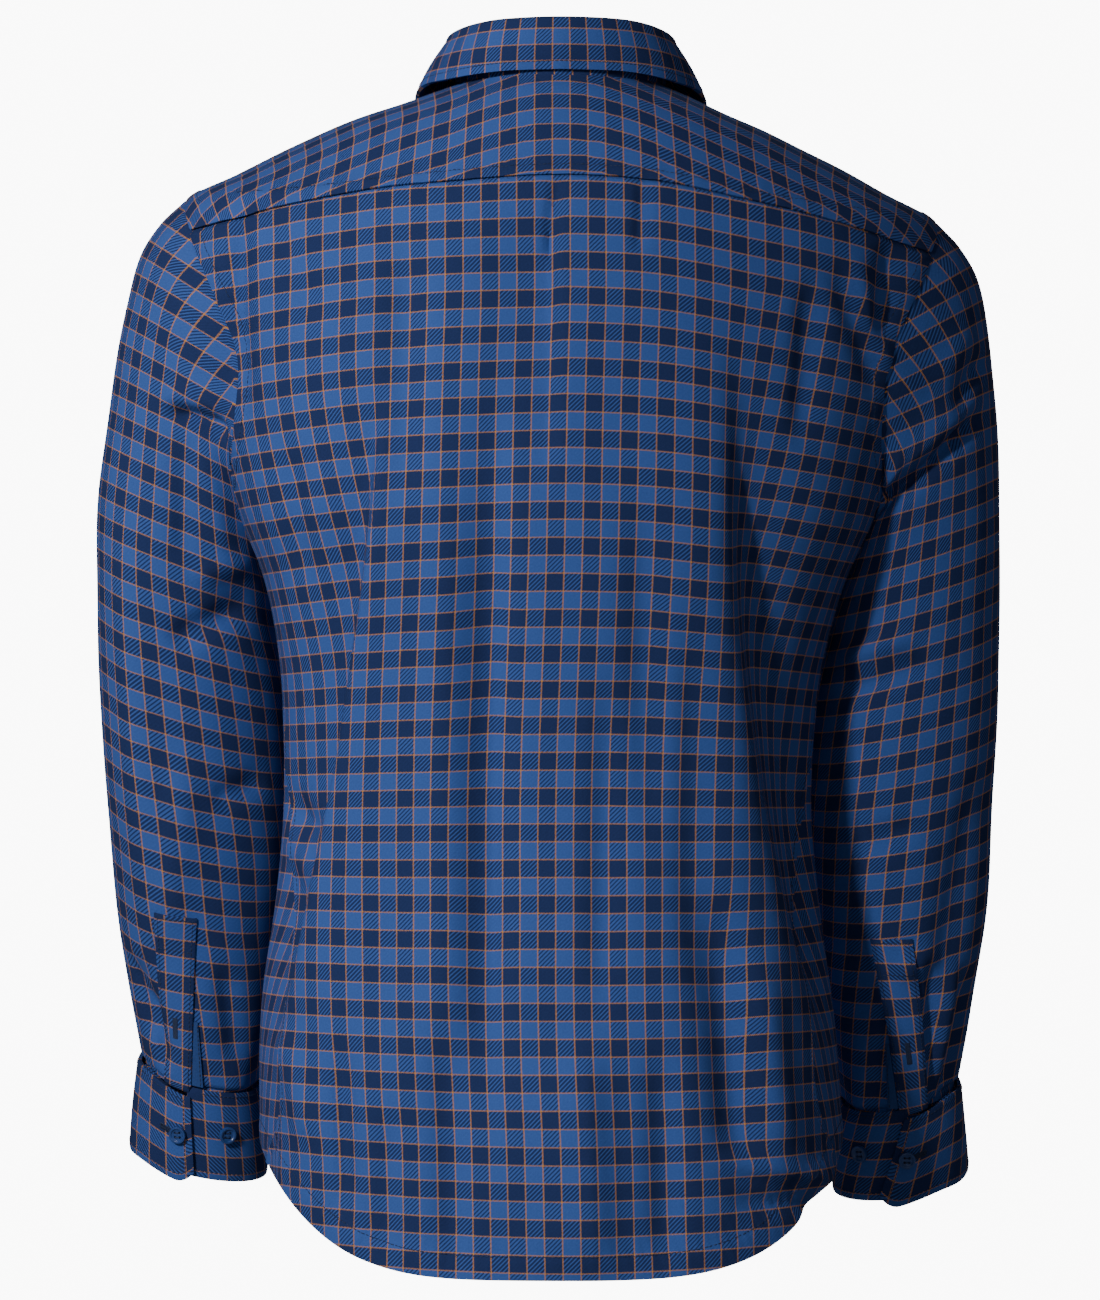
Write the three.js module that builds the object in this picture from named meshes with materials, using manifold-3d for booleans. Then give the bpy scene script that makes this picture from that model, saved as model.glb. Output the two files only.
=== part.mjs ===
// A man's long-sleeved flannel shirt, filled out as it is when worn, hollow and with no wearer.
// Millimetres. +Z is up, +X is the wearer's right, the buttoned front faces +Y and the back faces -Y.
// The origin is the middle of the neck, level with the side of the neck, where the shoulders carry the shirt.
import * as THREE from "three";
import { mergeVertices } from "three/addons/utils/BufferGeometryUtils.js";
import Module from "manifold-3d";

const wasm = await Module();
wasm.setup();

// Cloth and seams
const CLOTH = 1.5; // one layer of brushed cotton
const LINED = 2.3; // collar and cuffs, two layers with interlining
const SEAM_GAP = 0.3; // between the pieces that a seam joins
const TRIM = 0.0006; // share of a panel's width that each of its edges stands back from the seam

// Body, from the collar down
const BACK_HEM = -741; // the tail's lowest point
const FRONT_HEM = -712;
const SIDE_HEM = -660; // highest, at the sides
const HEM_SWEEP = 1.6; // how late the tails turn up towards the sides
const YOKE_SEAM = -55; // middle of the back yoke seam
const NECK = { wide: 66, deep: 62.5, y: 1.5 }; // the neck seam seen from above
const NECK_TO_YOKE_FRONT = 115; // degrees round the neck from the back to the front yoke seam
const NECK_TO_YOKE_BACK = 52; // degrees round the neck that face the end of the back yoke seam
const ARMHOLE = { z: -167, tall: 95, back: 66, front: 62 };
const YOKE_BACK_END = 41.6; // degrees round the armhole from its top to the back yoke seam
const YOKE_FRONT_END = 38; // and to the front yoke seam
const BAND_HALF = 17; // half the width of the button band
const STAND_BACK = 30; // collar stand's height at the back
const STAND_FRONT = 24;
const STAND_OVERLAP = 10; // degrees that the stand's ends run past the middle of the front
const RIGHT_SHOULDER_LOWER = 0.03; // slope of the shoulders, which hang a little to the right

// Sleeves
const CUFF_OVERLAP = 58; // degrees
// Degrees round each wrist, from its outer edge: the middle of the placket at its top and at the cuff, and the
// free end of the cuff at its upper and lower edge.
const WRIST = {
  left: { placketTop: 76, placketEnd: 70, flapTop: 83, flapEnd: 88 },
  right: { placketTop: 98, placketEnd: 79, flapTop: 88, flapEnd: 109 },
};
const PLACKET = { wide: 24, long: 111, lift: 0.6 }; // lift is the space between it and the sleeve
const BINDING = { long: 42, thick: 1, off: 0.8, start: 4, end: 11 }; // off, start and end are degrees
const FLAP_DROP = 6.5; // how much lower the cuff's free end hangs
const FLAP_CORNER = 9; // how much its corner is rounded off
const FLAP_STEP = LINED + 0.7; // how far the free end lies above the layer under it
const BUTTON = { across: 11, thick: 2.6, rim: 1.3, hole: 0.95, holesOff: 1.5, off: 0.4 };
const CUFF_BUTTON = { through: 11, spare: 31, down: 0.47 }; // degrees either side of the free end
const FRONT_BUTTONS = { count: 7, top: -104, pitch: 87 };

// Level sections of the body: half its width, sideways shift, depth to the back and the front, and squareness.
const BODY = [
  { z: 34, half: 48, shift: 0, back: 45, front: 27, square: 2.0 },
  { z: 22, half: 55, shift: 0, back: 53, front: 32, square: 2.0 },
  { z: 8, half: 66, shift: 0, back: 63, front: 39, square: 2.0 },
  { z: 0, half: 84, shift: 0, back: 70, front: 44, square: 2.0 },
  { z: -18, half: 129, shift: 0, back: 81, front: 53, square: 2.08 },
  { z: -37, half: 170, shift: 0, back: 90, front: 61, square: 2.15 },
  { z: -56, half: 206, shift: 0, back: 99, front: 69, square: 2.2 },
  { z: -72, half: 236, shift: 0, back: 105, front: 77, square: 2.25 },
  { z: -100, half: 247, shift: 0, back: 112, front: 90, square: 2.3 },
  { z: -130, half: 243, shift: 0, back: 118, front: 102, square: 2.33 },
  { z: -165, half: 231, shift: -1, back: 123, front: 112, square: 2.36 },
  { z: -205, half: 219, shift: -2, back: 126, front: 119, square: 2.4 },
  { z: -262, half: 204, shift: -3, back: 126, front: 124, square: 2.4 },
  { z: -306, half: 184, shift: -4, back: 122, front: 122, square: 2.36 },
  { z: -357, half: 172, shift: -6, back: 115, front: 118, square: 2.3 },
  { z: -408, half: 168, shift: -8, back: 109, front: 114, square: 2.28 },
  { z: -458, half: 167, shift: -9, back: 107, front: 112, square: 2.28 },
  { z: -509, half: 172, shift: -9, back: 110, front: 113, square: 2.3 },
  { z: -560, half: 179, shift: -9, back: 116, front: 117, square: 2.34 },
  { z: -611, half: 183, shift: -8, back: 122, front: 121, square: 2.36 },
  { z: -661, half: 184, shift: -6, back: 126, front: 124, square: 2.38 },
  { z: -760, half: 180, shift: -4, back: 128, front: 126, square: 2.38 },
];

// Rings down a sleeve, as on the right arm: outer and inner edge, its middle's place forward and how much
// further forward the inner edge lies, and the depth to the back and the front.
const SLEEVE = [
  { down: 0, outX: 237, outZ: -72, inX: 205, inZ: -262, shift: 0, midY: 0, inY: 0, back: 62, front: 60 },
  { down: 22, outX: 252, outZ: -87, inX: 206, inZ: -266, shift: -0.5, midY: 0, inY: 0, back: 60, front: 60 },
  { down: 50, outX: 265, outZ: -108, inX: 204, inZ: -273, shift: -1, midY: 0, inY: 2, back: 58, front: 60 },
  { down: 85, outX: 273, outZ: -138, inX: 200, inZ: -282, shift: -2, midY: 1, inY: 9, back: 57, front: 61 },
  { down: 130, outX: 279, outZ: -180, inX: 191, inZ: -295, shift: -4, midY: 3, inY: 20, back: 57, front: 62 },
  { down: 180, outX: 284, outZ: -229, inX: 181, inZ: -314, shift: -6, midY: 7, inY: 33, back: 58, front: 62 },
  { down: 235, outX: 287, outZ: -283, inX: 172, inZ: -341, shift: -8, midY: 12, inY: 40, back: 60, front: 61 },
  { down: 295, outX: 287, outZ: -343, inX: 166, inZ: -378, shift: -8, midY: 19, inY: 38, back: 58, front: 59 },
  { down: 355, outX: 285, outZ: -404, inX: 163, inZ: -426, shift: -8, midY: 28, inY: 34, back: 56, front: 56 },
  { down: 415, outX: 282, outZ: -465, inX: 165, inZ: -478, shift: -7, midY: 40, inY: 26, back: 53, front: 53 },
  { down: 470, outX: 278, outZ: -521, inX: 171, inZ: -530, shift: -7, midY: 54, inY: 16, back: 49, front: 49 },
  { down: 520, outX: 271, outZ: -570, inX: 178, inZ: -580, shift: -7, midY: 67, inY: 6, back: 45, front: 45 },
  { down: 570, outX: 263, outZ: -618, inX: 187, inZ: -634, shift: -7, midY: 81, inY: 0, back: 40, front: 41 },
];

// The cuff's lower edge, as on the right arm.
const CUFF_EDGE = {
  outX: 270, outZ: -677, inX: 183, inZ: -693, shift: -7, midY: 96, inY: 0, back: 38, front: 38,
};
const WRIST_TILT = 0.28; // how far the wrist leans forward as it goes down

// The free edge of the collar, by degrees round the neck from the middle of the back.
const COLLAR_EDGE = [
  { turn: 0, x: 0, y: -67, z: 13 },
  { turn: 30, x: 40, y: -59, z: 12 },
  { turn: 60, x: 72, y: -36, z: 8 },
  { turn: 88, x: 90.5, y: 2, z: 3.5 },
  { turn: 106, x: 93, y: 35, z: -9 },
  { turn: 124, x: 88, y: 57, z: -32 },
  { turn: 142, x: 77, y: 71, z: -54 },
  { turn: 157, x: 66, y: 80, z: -70 },
  { turn: 170, x: 54, y: 86, z: -82 },
];
const COLLAR_END = 170;

// The side seams, which swing round to the back above the hem: share of the way up to the armhole, and turn.
const SIDE_SEAM = [
  { up: 0, turn: 74 },
  { up: 0.07, turn: 64.5 },
  { up: 0.15, turn: 62 },
  { up: 0.28, turn: 65.5 },
  { up: 0.45, turn: 74 },
  { up: 0.66, turn: 84 },
  { up: 0.83, turn: 89.5 },
  { up: 1, turn: 90 },
];

// The largest folds, as straight stretches placed in a level view of the back or the front.
// deep is how far the fold stands out, negative for a trough; left and right are its widths on either side.
const FOLDS = [
  { on: "body", face: "back", x1: -112, z1: -205, x2: -126, z2: -318, deep: 4, left: 14, right: 44 },
  { on: "body", face: "back", x1: -126, z1: -318, x2: -162, z2: -552, deep: 7, left: 12, right: 50 },
  { on: "body", face: "back", x1: -150, z1: -300, x2: -178, z2: -500, deep: -6, left: 20, right: 22 },
  { on: "body", face: "back", x1: 148, z1: -110, x2: 112, z2: -260, deep: 4, left: 40, right: 16 },
  { on: "body", face: "back", x1: 112, z1: -260, x2: 152, z2: -620, deep: 8, left: 50, right: 13 },
  { on: "body", face: "back", x1: 135, z1: -280, x2: 172, z2: -600, deep: -9, left: 18, right: 26 },
  { on: "body", face: "back", x1: -46, z1: -250, x2: -52, z2: -640, deep: -4, left: 22, right: 22 },
  { on: "body", face: "back", x1: 62, z1: -380, x2: 74, z2: -700, deep: 4, left: 30, right: 26 },
  { on: "body", face: "back", x1: -206, z1: -95, x2: -198, z2: -170, deep: -5, left: 12, right: 14 },
  { on: "body", face: "back", x1: 186, z1: -90, x2: 192, z2: -160, deep: -5, left: 12, right: 14 },
  { on: "body", face: "front", x1: -190, z1: -150, x2: -120, z2: -330, deep: 6, left: 24, right: 20 },
  { on: "body", face: "front", x1: 190, z1: -150, x2: 118, z2: -340, deep: 6, left: 20, right: 24 },
  { on: "body", face: "front", x1: -118, z1: -330, x2: -138, z2: -640, deep: 7, left: 20, right: 34 },
  { on: "body", face: "front", x1: 112, z1: -340, x2: 128, z2: -650, deep: 7, left: 34, right: 20 },
  { on: "body", face: "front", x1: -72, z1: -420, x2: -78, z2: -690, deep: -5, left: 20, right: 20 },
  { on: "body", face: "front", x1: 66, z1: -400, x2: 72, z2: -690, deep: -5, left: 20, right: 20 },
  { on: "sleeve", face: "back", x1: 196, z1: -262, x2: 262, z2: -190, deep: 7, left: 15, right: 14 },
  { on: "sleeve", face: "back", x1: 200, z1: -225, x2: 250, z2: -165, deep: -5, left: 14, right: 14 },
  { on: "sleeve", face: "back", x1: 180, z1: -372, x2: 232, z2: -352, deep: -5, left: 13, right: 13 },
  { on: "sleeve", face: "back", x1: -207, z1: -216, x2: -246, z2: -222, deep: -6, left: 12, right: 12 },
  { on: "sleeve", face: "back", x1: -276, z1: -300, x2: -264, z2: -545, deep: 4, left: 12, right: 16 },
  { on: "sleeve", face: "back", x1: 262, z1: -430, x2: 240, z2: -580, deep: -4, left: 14, right: 14 },
  { on: "sleeve", face: "front", x1: -200, z1: -250, x2: -258, z2: -200, deep: 6, left: 15, right: 15 },
  { on: "sleeve", face: "front", x1: 200, z1: -250, x2: 258, z2: -200, deep: 6, left: 15, right: 15 },
  { on: "sleeve", face: "front", x1: -188, z1: -400, x2: -256, z2: -380, deep: -6, left: 14, right: 14 },
  { on: "sleeve", face: "front", x1: 176, z1: -400, x2: 246, z2: -380, deep: -6, left: 14, right: 14 },
];

const shirt = new THREE.Group();
const { degToRad: rad, radToDeg: deg } = THREE.MathUtils;
const { lerp, smoothstep, clamp } = THREE.MathUtils;

const flannel = new THREE.MeshStandardMaterial({ color: "#2c477f", roughness: 0.95, metalness: 0 });
const plain = new THREE.MeshStandardMaterial({ color: "#263f6c", roughness: 0.9, metalness: 0 });
const resin = new THREE.MeshStandardMaterial({ color: "#2a4372", roughness: 0.45, metalness: 0 });

function add(name, geometry, material) {
  const mesh = new THREE.Mesh(geometry, material);
  mesh.name = name;
  shirt.add(mesh);
  return mesh;
}

// A smooth reading of a table between its rows, which run in order of the column named key.
function read(table, key, at) {
  const rising = table[1][key] > table[0][key];
  let i = 0;
  while (i < table.length - 2 && (rising ? at > table[i + 1][key] : at < table[i + 1][key])) i++;
  const [a, b] = [table[i], table[i + 1]];
  const before = table[Math.max(i - 1, 0)];
  const after = table[Math.min(i + 2, table.length - 1)];
  const step = b[key] - a[key];
  const t = clamp((at - a[key]) / step, 0, 1);
  const row = { [key]: at };
  for (const column of Object.keys(a)) {
    if (column === key) continue;
    const slopeA = ((b[column] - before[column]) / (b[key] - before[key])) * step;
    const slopeB = ((after[column] - a[column]) / (after[key] - a[key])) * step;
    const rise = t * t * (3 - 2 * t);
    row[column] = lerp(a[column], b[column], rise) + slopeA * t * (1 - t) ** 2 - slopeB * t * t * (1 - t);
  }
  return row;
}

// How far the folds lift the cloth at a point that faces the given way.
function foldLift(on, point, facing) {
  const face = facing.y < 0 ? "back" : "front";
  const shown = smoothstep(Math.abs(facing.y), 0.05, 0.45);
  let lift = 0;
  for (const f of FOLDS) {
    if (f.on !== on || f.face !== face) continue;
    const [dx, dz] = [f.x2 - f.x1, f.z2 - f.z1];
    const long = Math.hypot(dx, dz);
    const along = ((point.x - f.x1) * dx + (point.z - f.z1) * dz) / long ** 2;
    if (along < -0.15 || along > 1.15) continue;
    // Positive off is to the right of a fold that runs down the shirt.
    const off = ((point.z - f.z1) * dx - (point.x - f.x1) * dz) / long;
    const taper = smoothstep(along, -0.15, 0.25) * (1 - smoothstep(along, 0.75, 1.15));
    lift += f.deep * taper * Math.exp(-((off / (off < 0 ? f.left : f.right)) ** 2));
  }
  return lift * shown;
}

// The shirt hangs a little lower on its right shoulder. The waist stays level; hung is 1 where the cloth goes
// with the shoulder all the way, as a sleeve does.
function settle(point, hung = 0) {
  const side = smoothstep(Math.abs(point.x), 40, 120); // the neck itself is level
  point.z -= RIGHT_SHOULDER_LOWER * point.x * side * lerp(smoothstep(point.z, -420, -120), 1, hung);
  return point;
}

// The bare form of the body: turn is 0 degrees at the middle of the back, 90 at the wearer's right and 180 in
// front.
function form(turn, z) {
  const s = read(BODY, "z", z);
  const [side, away] = [Math.sin(rad(turn)), Math.cos(rad(turn))];
  const power = 2 / s.square;
  const depth = away > 0 ? s.back : s.front;
  return new THREE.Vector3(
    s.shift + s.half * Math.sign(side) * Math.abs(side) ** power,
    -depth * Math.sign(away) * Math.abs(away) ** power,
    z,
  );
}

// The body's cloth, with its folds, lifted off the form.
function body(turn, z, lift = 0) {
  const point = form(turn, z);
  const across = form(turn + 0.5, z).sub(form(turn - 0.5, z));
  const up = form(turn, z + 0.5).sub(form(turn, z - 0.5));
  const out = across.cross(up).normalize();
  return settle(point.addScaledVector(out, lift + foldLift("body", point, out)));
}

// The turn at which a section has the given distance sideways.
function turnAtX(x, z, front = false) {
  const s = read(BODY, "z", z);
  const turn = deg(Math.asin(clamp(Math.abs(x) / s.half, 0, 1) ** (s.square / 2)));
  return Math.sign(x) * (front ? 180 - turn : turn);
}

// The height and turn of the form under a point of the plan.
function underPlan(x, y) {
  let [low, high] = [-130, 34];
  for (let i = 0; i < 40; i++) {
    const z = (low + high) / 2;
    const s = read(BODY, "z", z);
    const reach = (Math.abs(x) / s.half) ** s.square + (Math.abs(y) / (y < 0 ? s.back : s.front)) ** s.square;
    if (reach > 1) high = z;
    else low = z;
  }
  const s = read(BODY, "z", low);
  const side = Math.sign(x) * (Math.abs(x) / s.half) ** (s.square / 2);
  const away = -Math.sign(y) * (Math.abs(y) / (y < 0 ? s.back : s.front)) ** (s.square / 2);
  return { turn: deg(Math.atan2(side, away)), z: low };
}

// The neck seam in plan, by degrees from the middle of the back.
function neckPlan(turn, grown = 0) {
  return {
    x: (NECK.wide + grown) * Math.sin(rad(turn)),
    y: NECK.y - (NECK.deep + grown) * Math.cos(rad(turn)),
  };
}

// The armhole seam, by degrees from its top towards the back, as a turn and a height on the body.
function armhole(angle, side, smaller = 0) {
  const z = ARMHOLE.z + (ARMHOLE.tall - smaller) * Math.cos(rad(angle));
  const reach = (Math.sin(rad(angle)) > 0 ? ARMHOLE.back : ARMHOLE.front) - smaller;
  const y = -reach * Math.sin(rad(angle));
  const s = read(BODY, "z", z);
  const away = (Math.abs(y) / (y < 0 ? s.back : s.front)) ** (s.square / 2);
  return { turn: side * deg(Math.acos(-Math.sign(y) * away)), z };
}

// A patch filled in between its four edges, each a function from 0 to 1 that gives a point's coordinates.
function between(low, high, first, last, keys) {
  const corners = [first(0), last(0), first(1), last(1)];
  return (u, v) => {
    const at = {};
    const edges = [low(u), high(u), first(v), last(v)];
    for (const k of keys) {
      const ruled = lerp(edges[0][k], edges[1][k], v) + lerp(edges[2][k], edges[3][k], u);
      at[k] = ruled - lerp(lerp(corners[0][k], corners[1][k], u), lerp(corners[2][k], corners[3][k], u), v);
    }
    return at;
  };
}

// A closed wall of cloth. surface(u, v) gives its outer side, and facing is 1 or -1, so that the normal
// points out.
function wall(surface, columns, rows, thick, facing = 1, tube = false) {
  const step = 0.002;
  const positions = [];
  const wide = tube ? columns : columns + 1;
  const skins = [0, -thick].map((offset) => {
    const skin = [];
    for (let j = 0; j <= rows; j++) {
      for (let i = 0; i < wide; i++) {
        const [u, v] = [i / columns, j / rows];
        const point = surface(u, v);
        const [u0, u1] = tube ? [u - step, u + step] : [Math.max(u - step, 0), Math.min(u + step, 1)];
        const [v0, v1] = [Math.max(v - step, 0), Math.min(v + step, 1)];
        const across = surface(u1, v).sub(surface(u0, v));
        const down = surface(u, v1).sub(surface(u, v0));
        const out = across.cross(down).normalize().multiplyScalar(facing);
        point.addScaledVector(out, offset);
        skin.push(positions.length / 3);
        positions.push(point.x, point.y, point.z);
      }
    }
    return skin;
  });
  const [outer, inner] = skins;
  const faces = [];
  const quad = (a, b, c, d) => (facing > 0 ? faces.push(a, b, c, a, c, d) : faces.push(a, c, b, a, d, c));
  const at = (i, j) => j * wide + (i % wide);
  for (let j = 0; j < rows; j++) {
    for (let i = 0; i < columns; i++) {
      const cell = [at(i, j), at(i + 1, j), at(i + 1, j + 1), at(i, j + 1)];
      quad(...cell.map((k) => outer[k]));
      quad(...cell.map((k) => inner[k]).reverse());
    }
  }
  const rim = (a, b) => quad(outer[b], outer[a], inner[a], inner[b]);
  for (let i = 0; i < columns; i++) {
    rim(at(i, 0), at(i + 1, 0));
    rim(at(i + 1, rows), at(i, rows));
  }
  for (let j = 0; j < rows && !tube; j++) {
    rim(at(0, j + 1), at(0, j));
    rim(at(columns, j), at(columns, j + 1));
  }
  const geometry = new THREE.BufferGeometry();
  geometry.setAttribute("position", new THREE.Float32BufferAttribute(positions, 3));
  geometry.setIndex(faces);
  return geometry;
}

const inset = (u) => lerp(TRIM, 1 - TRIM, u);

// The hem's height: each tail rises from its lowest point to the side.
function hemHeight(turn) {
  const fromBack = Math.abs(turn);
  const share = clamp((fromBack < 90 ? fromBack : Math.abs(180 - fromBack)) / 90, 0, 1);
  return lerp(fromBack < 90 ? BACK_HEM : FRONT_HEM, SIDE_HEM, (1 - Math.cos(Math.PI * share ** HEM_SWEEP)) / 2);
}
const SIDE_FOOT = SIDE_SEAM[0].turn; // where the side seams end at the hem

// The back, from the tail up to the yoke.
const SIDE_SHARE = 0.5; // share of a panel's edge that is side seam, the rest being armhole
function sideEdge(side, top) {
  return (v) => {
    if (v >= SIDE_SHARE) {
      const round = (v - SIDE_SHARE) / (1 - SIDE_SHARE);
      return armhole(lerp(Math.sign(top) * 180, top, round), side);
    }
    const up = v / SIDE_SHARE;
    const z = lerp(hemHeight(SIDE_FOOT), ARMHOLE.z - ARMHOLE.tall, up);
    return { turn: side * read(SIDE_SEAM, "up", up).turn, z };
  };
}

function backSeam(across) {
  const end = armhole(YOKE_BACK_END, 1);
  const reach = form(end.turn, end.z).x - read(BODY, "z", end.z).shift;
  const z = lerp(YOKE_SEAM, end.z, Math.abs(across) ** 1.8);
  return { turn: turnAtX(across * reach, z), z };
}

const backHem = (u) => {
  const turn = lerp(-SIDE_FOOT, SIDE_FOOT, u);
  return { turn, z: hemHeight(turn) };
};
const backPatch = between(
  backHem,
  (u) => backSeam(2 * u - 1),
  sideEdge(-1, YOKE_BACK_END),
  sideEdge(1, YOKE_BACK_END),
  ["turn", "z"],
);
function backCloth(u, v) {
  const q = backPatch(inset(u), inset(v));
  return body(q.turn, q.z);
}
add("back", wall(backCloth, 30, 18, CLOTH), flannel);

// The yoke, from the neck seam out to the armholes, the back seam and the two front seams.
const SHOULDER_SHARE = 0.25; // share of the yoke's outer edge that is armhole, on each side
function yokeOuter(t) {
  const side = t < 0.5 ? -1 : 1;
  const inward = Math.min(t, 1 - t) / SHOULDER_SHARE;
  const q = inward < 1
    ? armhole(lerp(-YOKE_FRONT_END, YOKE_BACK_END, inward), side)
    : backSeam((2 * t - 1) / (1 - 2 * SHOULDER_SHARE));
  const p = form(q.turn, q.z);
  return { x: p.x - read(BODY, "z", q.z).shift, y: p.y };
}

function yokeInner(t) {
  const side = t < 0.5 ? -1 : 1;
  const fromEnd = Math.min(t, 1 - t);
  const inward = fromEnd / SHOULDER_SHARE;
  const turn = inward < 1
    ? lerp(NECK_TO_YOKE_FRONT, NECK_TO_YOKE_BACK, inward)
    : lerp(NECK_TO_YOKE_BACK, 0, (fromEnd - SHOULDER_SHARE) / (0.5 - SHOULDER_SHARE));
  return neckPlan(side * turn);
}

const frontSeam = (side) => (v) => {
  const [a, b] = side < 0 ? [yokeInner(0), yokeOuter(0)] : [yokeInner(1), yokeOuter(1)];
  return { x: lerp(a.x, b.x, v), y: lerp(a.y, b.y, v) };
};
const yokePatch = between(yokeInner, yokeOuter, frontSeam(-1), frontSeam(1), ["x", "y"]);
const YOKE_TRIM = 0.003; // share of the yoke's depth that its edges stand back from the neck and the seam
function yokeCloth(u, v) {
  const plan = yokePatch(inset(u), lerp(YOKE_TRIM, 1 - YOKE_TRIM, v));
  const q = underPlan(plan.x, plan.y);
  return body(q.turn, q.z);
}
add("yoke", wall(yokeCloth, 32, 8, CLOTH, -1), flannel);

// The two fronts. The wearer's left one lies over the right one at the buttons.
const NECK_SHARE = 1 / 3; // share of a front's top edge that is neck seam
function frontPatch(side) {
  const past = -side * BAND_HALF; // the front edge, beyond the middle
  const neckTurn = 180 + deg(Math.asin(BAND_HALF / NECK.wide));
  const top = (u) => {
    const plan = u < NECK_SHARE
      ? neckPlan(side * lerp(neckTurn, NECK_TO_YOKE_FRONT, u / NECK_SHARE))
      : frontSeam(side)((u - NECK_SHARE) / (1 - NECK_SHARE));
    const q = underPlan(plan.x, plan.y);
    // A turn just past 180 degrees stays on this front's own side.
    return { turn: u < NECK_SHARE && q.turn * side < 0 ? q.turn + side * 360 : q.turn, z: q.z };
  };
  const neckEnd = top(0);
  const hem = (u) => {
    const start = side * 360 + turnAtX(past, FRONT_HEM, true);
    const turn = lerp(start, side * SIDE_FOOT, u);
    return { turn, z: hemHeight(turn) };
  };
  const edge = (v) => {
    const z = lerp(FRONT_HEM, neckEnd.z, v);
    return { turn: lerp(side * 360 + turnAtX(past, z, true), neckEnd.turn, v ** 8), z };
  };
  return between(hem, top, edge, sideEdge(side, -YOKE_FRONT_END), ["turn", "z"]);
}

const fronts = { left: frontPatch(-1), right: frontPatch(1) };
// Where the right front passes under the left one, and how far under.
const LAP = { start: BAND_HALF + 8, end: BAND_HALF + 44, step: CLOTH + 2 * SEAM_GAP };
function frontCloth(side, u, v) {
  const q = fronts[side](inset(u), inset(v));
  const under = side === "right" ? 1 - smoothstep(form(q.turn, q.z).x, LAP.start, LAP.end) : 0;
  return body(q.turn, q.z, -under * LAP.step);
}
add("front_left", wall((u, v) => frontCloth("left", u, v), 12, 18, CLOTH), flannel);
add("front_right", wall((u, v) => frontCloth("right", u, v), 12, 18, CLOTH, -1), flannel);

// The button band lies on the left front's edge, from the neck to the hem.
const BAND_LIFT = CLOTH + 2 * SEAM_GAP;
const BAND_BOTTOM = FRONT_HEM + 0.5;
const BAND_TOP = underPlan(0, NECK.y + NECK.deep).z - 2;
function bandCloth(u, v) {
  const x = lerp(BAND_HALF, -BAND_HALF, u);
  const z = lerp(BAND_BOTTOM, BAND_TOP, v);
  // Turns are counted round the wearer's left side, so they pass 180 degrees beyond the middle.
  const turn = (x > 0 ? -360 : 0) + turnAtX(x === 0 ? -1e-6 : x, z, true);
  return body(turn, z, BAND_LIFT);
}
add("front_band", wall(bandCloth, 2, 18, CLOTH), flannel);

// Collar stand: a band round the neck whose left end lies over the right end in front.
const STAND = { off: 0.6, flare: 1.2, rise: 1.9 }; // off the neck seam, wider at its top, above the yoke
function standOuter(turn, up) {
  const spiral = (LINED + 0.5) * smoothstep(-turn, 150, 180);
  const plan = neckPlan(turn, STAND.off + spiral + STAND.flare * up);
  const base = neckPlan(turn);
  const floor = underPlan(base.x, base.y).z + STAND.rise;
  const tall = lerp(STAND_BACK, STAND_FRONT, smoothstep(Math.abs(turn), 30, 100));
  return settle(new THREE.Vector3(plan.x, plan.y, floor + tall * up));
}
const standTurn = (u) => lerp(-180 - STAND_OVERLAP, 180 + STAND_OVERLAP, u);
add("collar_stand", wall((u, v) => standOuter(standTurn(u), v), 32, 2, LINED), flannel);

// Collar: it rolls over the top of the stand and falls to its free edge.
const ROLL = { radius: 4.2, share: 0.16, out: 1.2, down: 0.6 }; // share of the cloth in it, and its middle
function collarCloth(u, v) {
  const turn = lerp(-COLLAR_END, COLLAR_END, u);
  const edge = read(COLLAR_EDGE, "turn", Math.abs(turn));
  const free = settle(new THREE.Vector3(Math.sign(turn) * edge.x, edge.y, edge.z));
  const top = standOuter(turn, 1);
  const away = new THREE.Vector3(Math.sin(rad(turn)), -Math.cos(rad(turn)), 0);
  const centre = top.clone().addScaledVector(away, ROLL.out).setZ(top.z - ROLL.down);
  if (v < ROLL.share) {
    const angle = rad((v / ROLL.share) * 90);
    centre.addScaledVector(away, ROLL.radius * Math.sin(angle));
    return centre.setZ(centre.z + ROLL.radius * Math.cos(angle));
  }
  const start = centre.addScaledVector(away, ROLL.radius);
  return start.lerp(free, (v - ROLL.share) / (1 - ROLL.share));
}
add("collar", wall(collarCloth, 30, 6, LINED, -1), flannel);

// Sleeves. angle is 0 at the sleeve's outer edge and 90 at its back; down is measured from the shoulder.
const SLEEVE_LONG = SLEEVE[SLEEVE.length - 1].down;
const SET_IN = { smaller: 1.5, out: 1.1, long: 60 }; // the sleeve's head under the body's edge, and its blend
function ring(row, side, angle, tilt) {
  const [c, s] = [Math.cos(rad(angle)), Math.sin(rad(angle))];
  const x = lerp(row.inX, row.outX, (1 + c) / 2);
  const y = s * (s > 0 ? row.back : row.front);
  const z = lerp(row.inZ, row.outZ, (1 + c) / 2);
  return new THREE.Vector3(side * x + row.shift, row.midY + (row.inY * (1 - c)) / 2 - y, z - tilt * y);
}

function sleeveForm(side, angle, down) {
  const row = read(SLEEVE, "down", down);
  const before = read(SLEEVE, "down", Math.max(down - 25, 0));
  const point = ring(row, side, angle, Math.min((row.midY - before.midY) / 25, WRIST_TILT));
  const joined = smoothstep(down, 0, SET_IN.long);
  if (joined < 1) {
    const q = armhole(angle, side, SET_IN.smaller);
    const seam = form(q.turn, q.z).add(new THREE.Vector3(side * SET_IN.out, 0, 0));
    const grown = point.clone().sub(ring(SLEEVE[0], side, angle, 0));
    point.lerp(seam.add(grown), 1 - joined);
  }
  return point;
}

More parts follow.
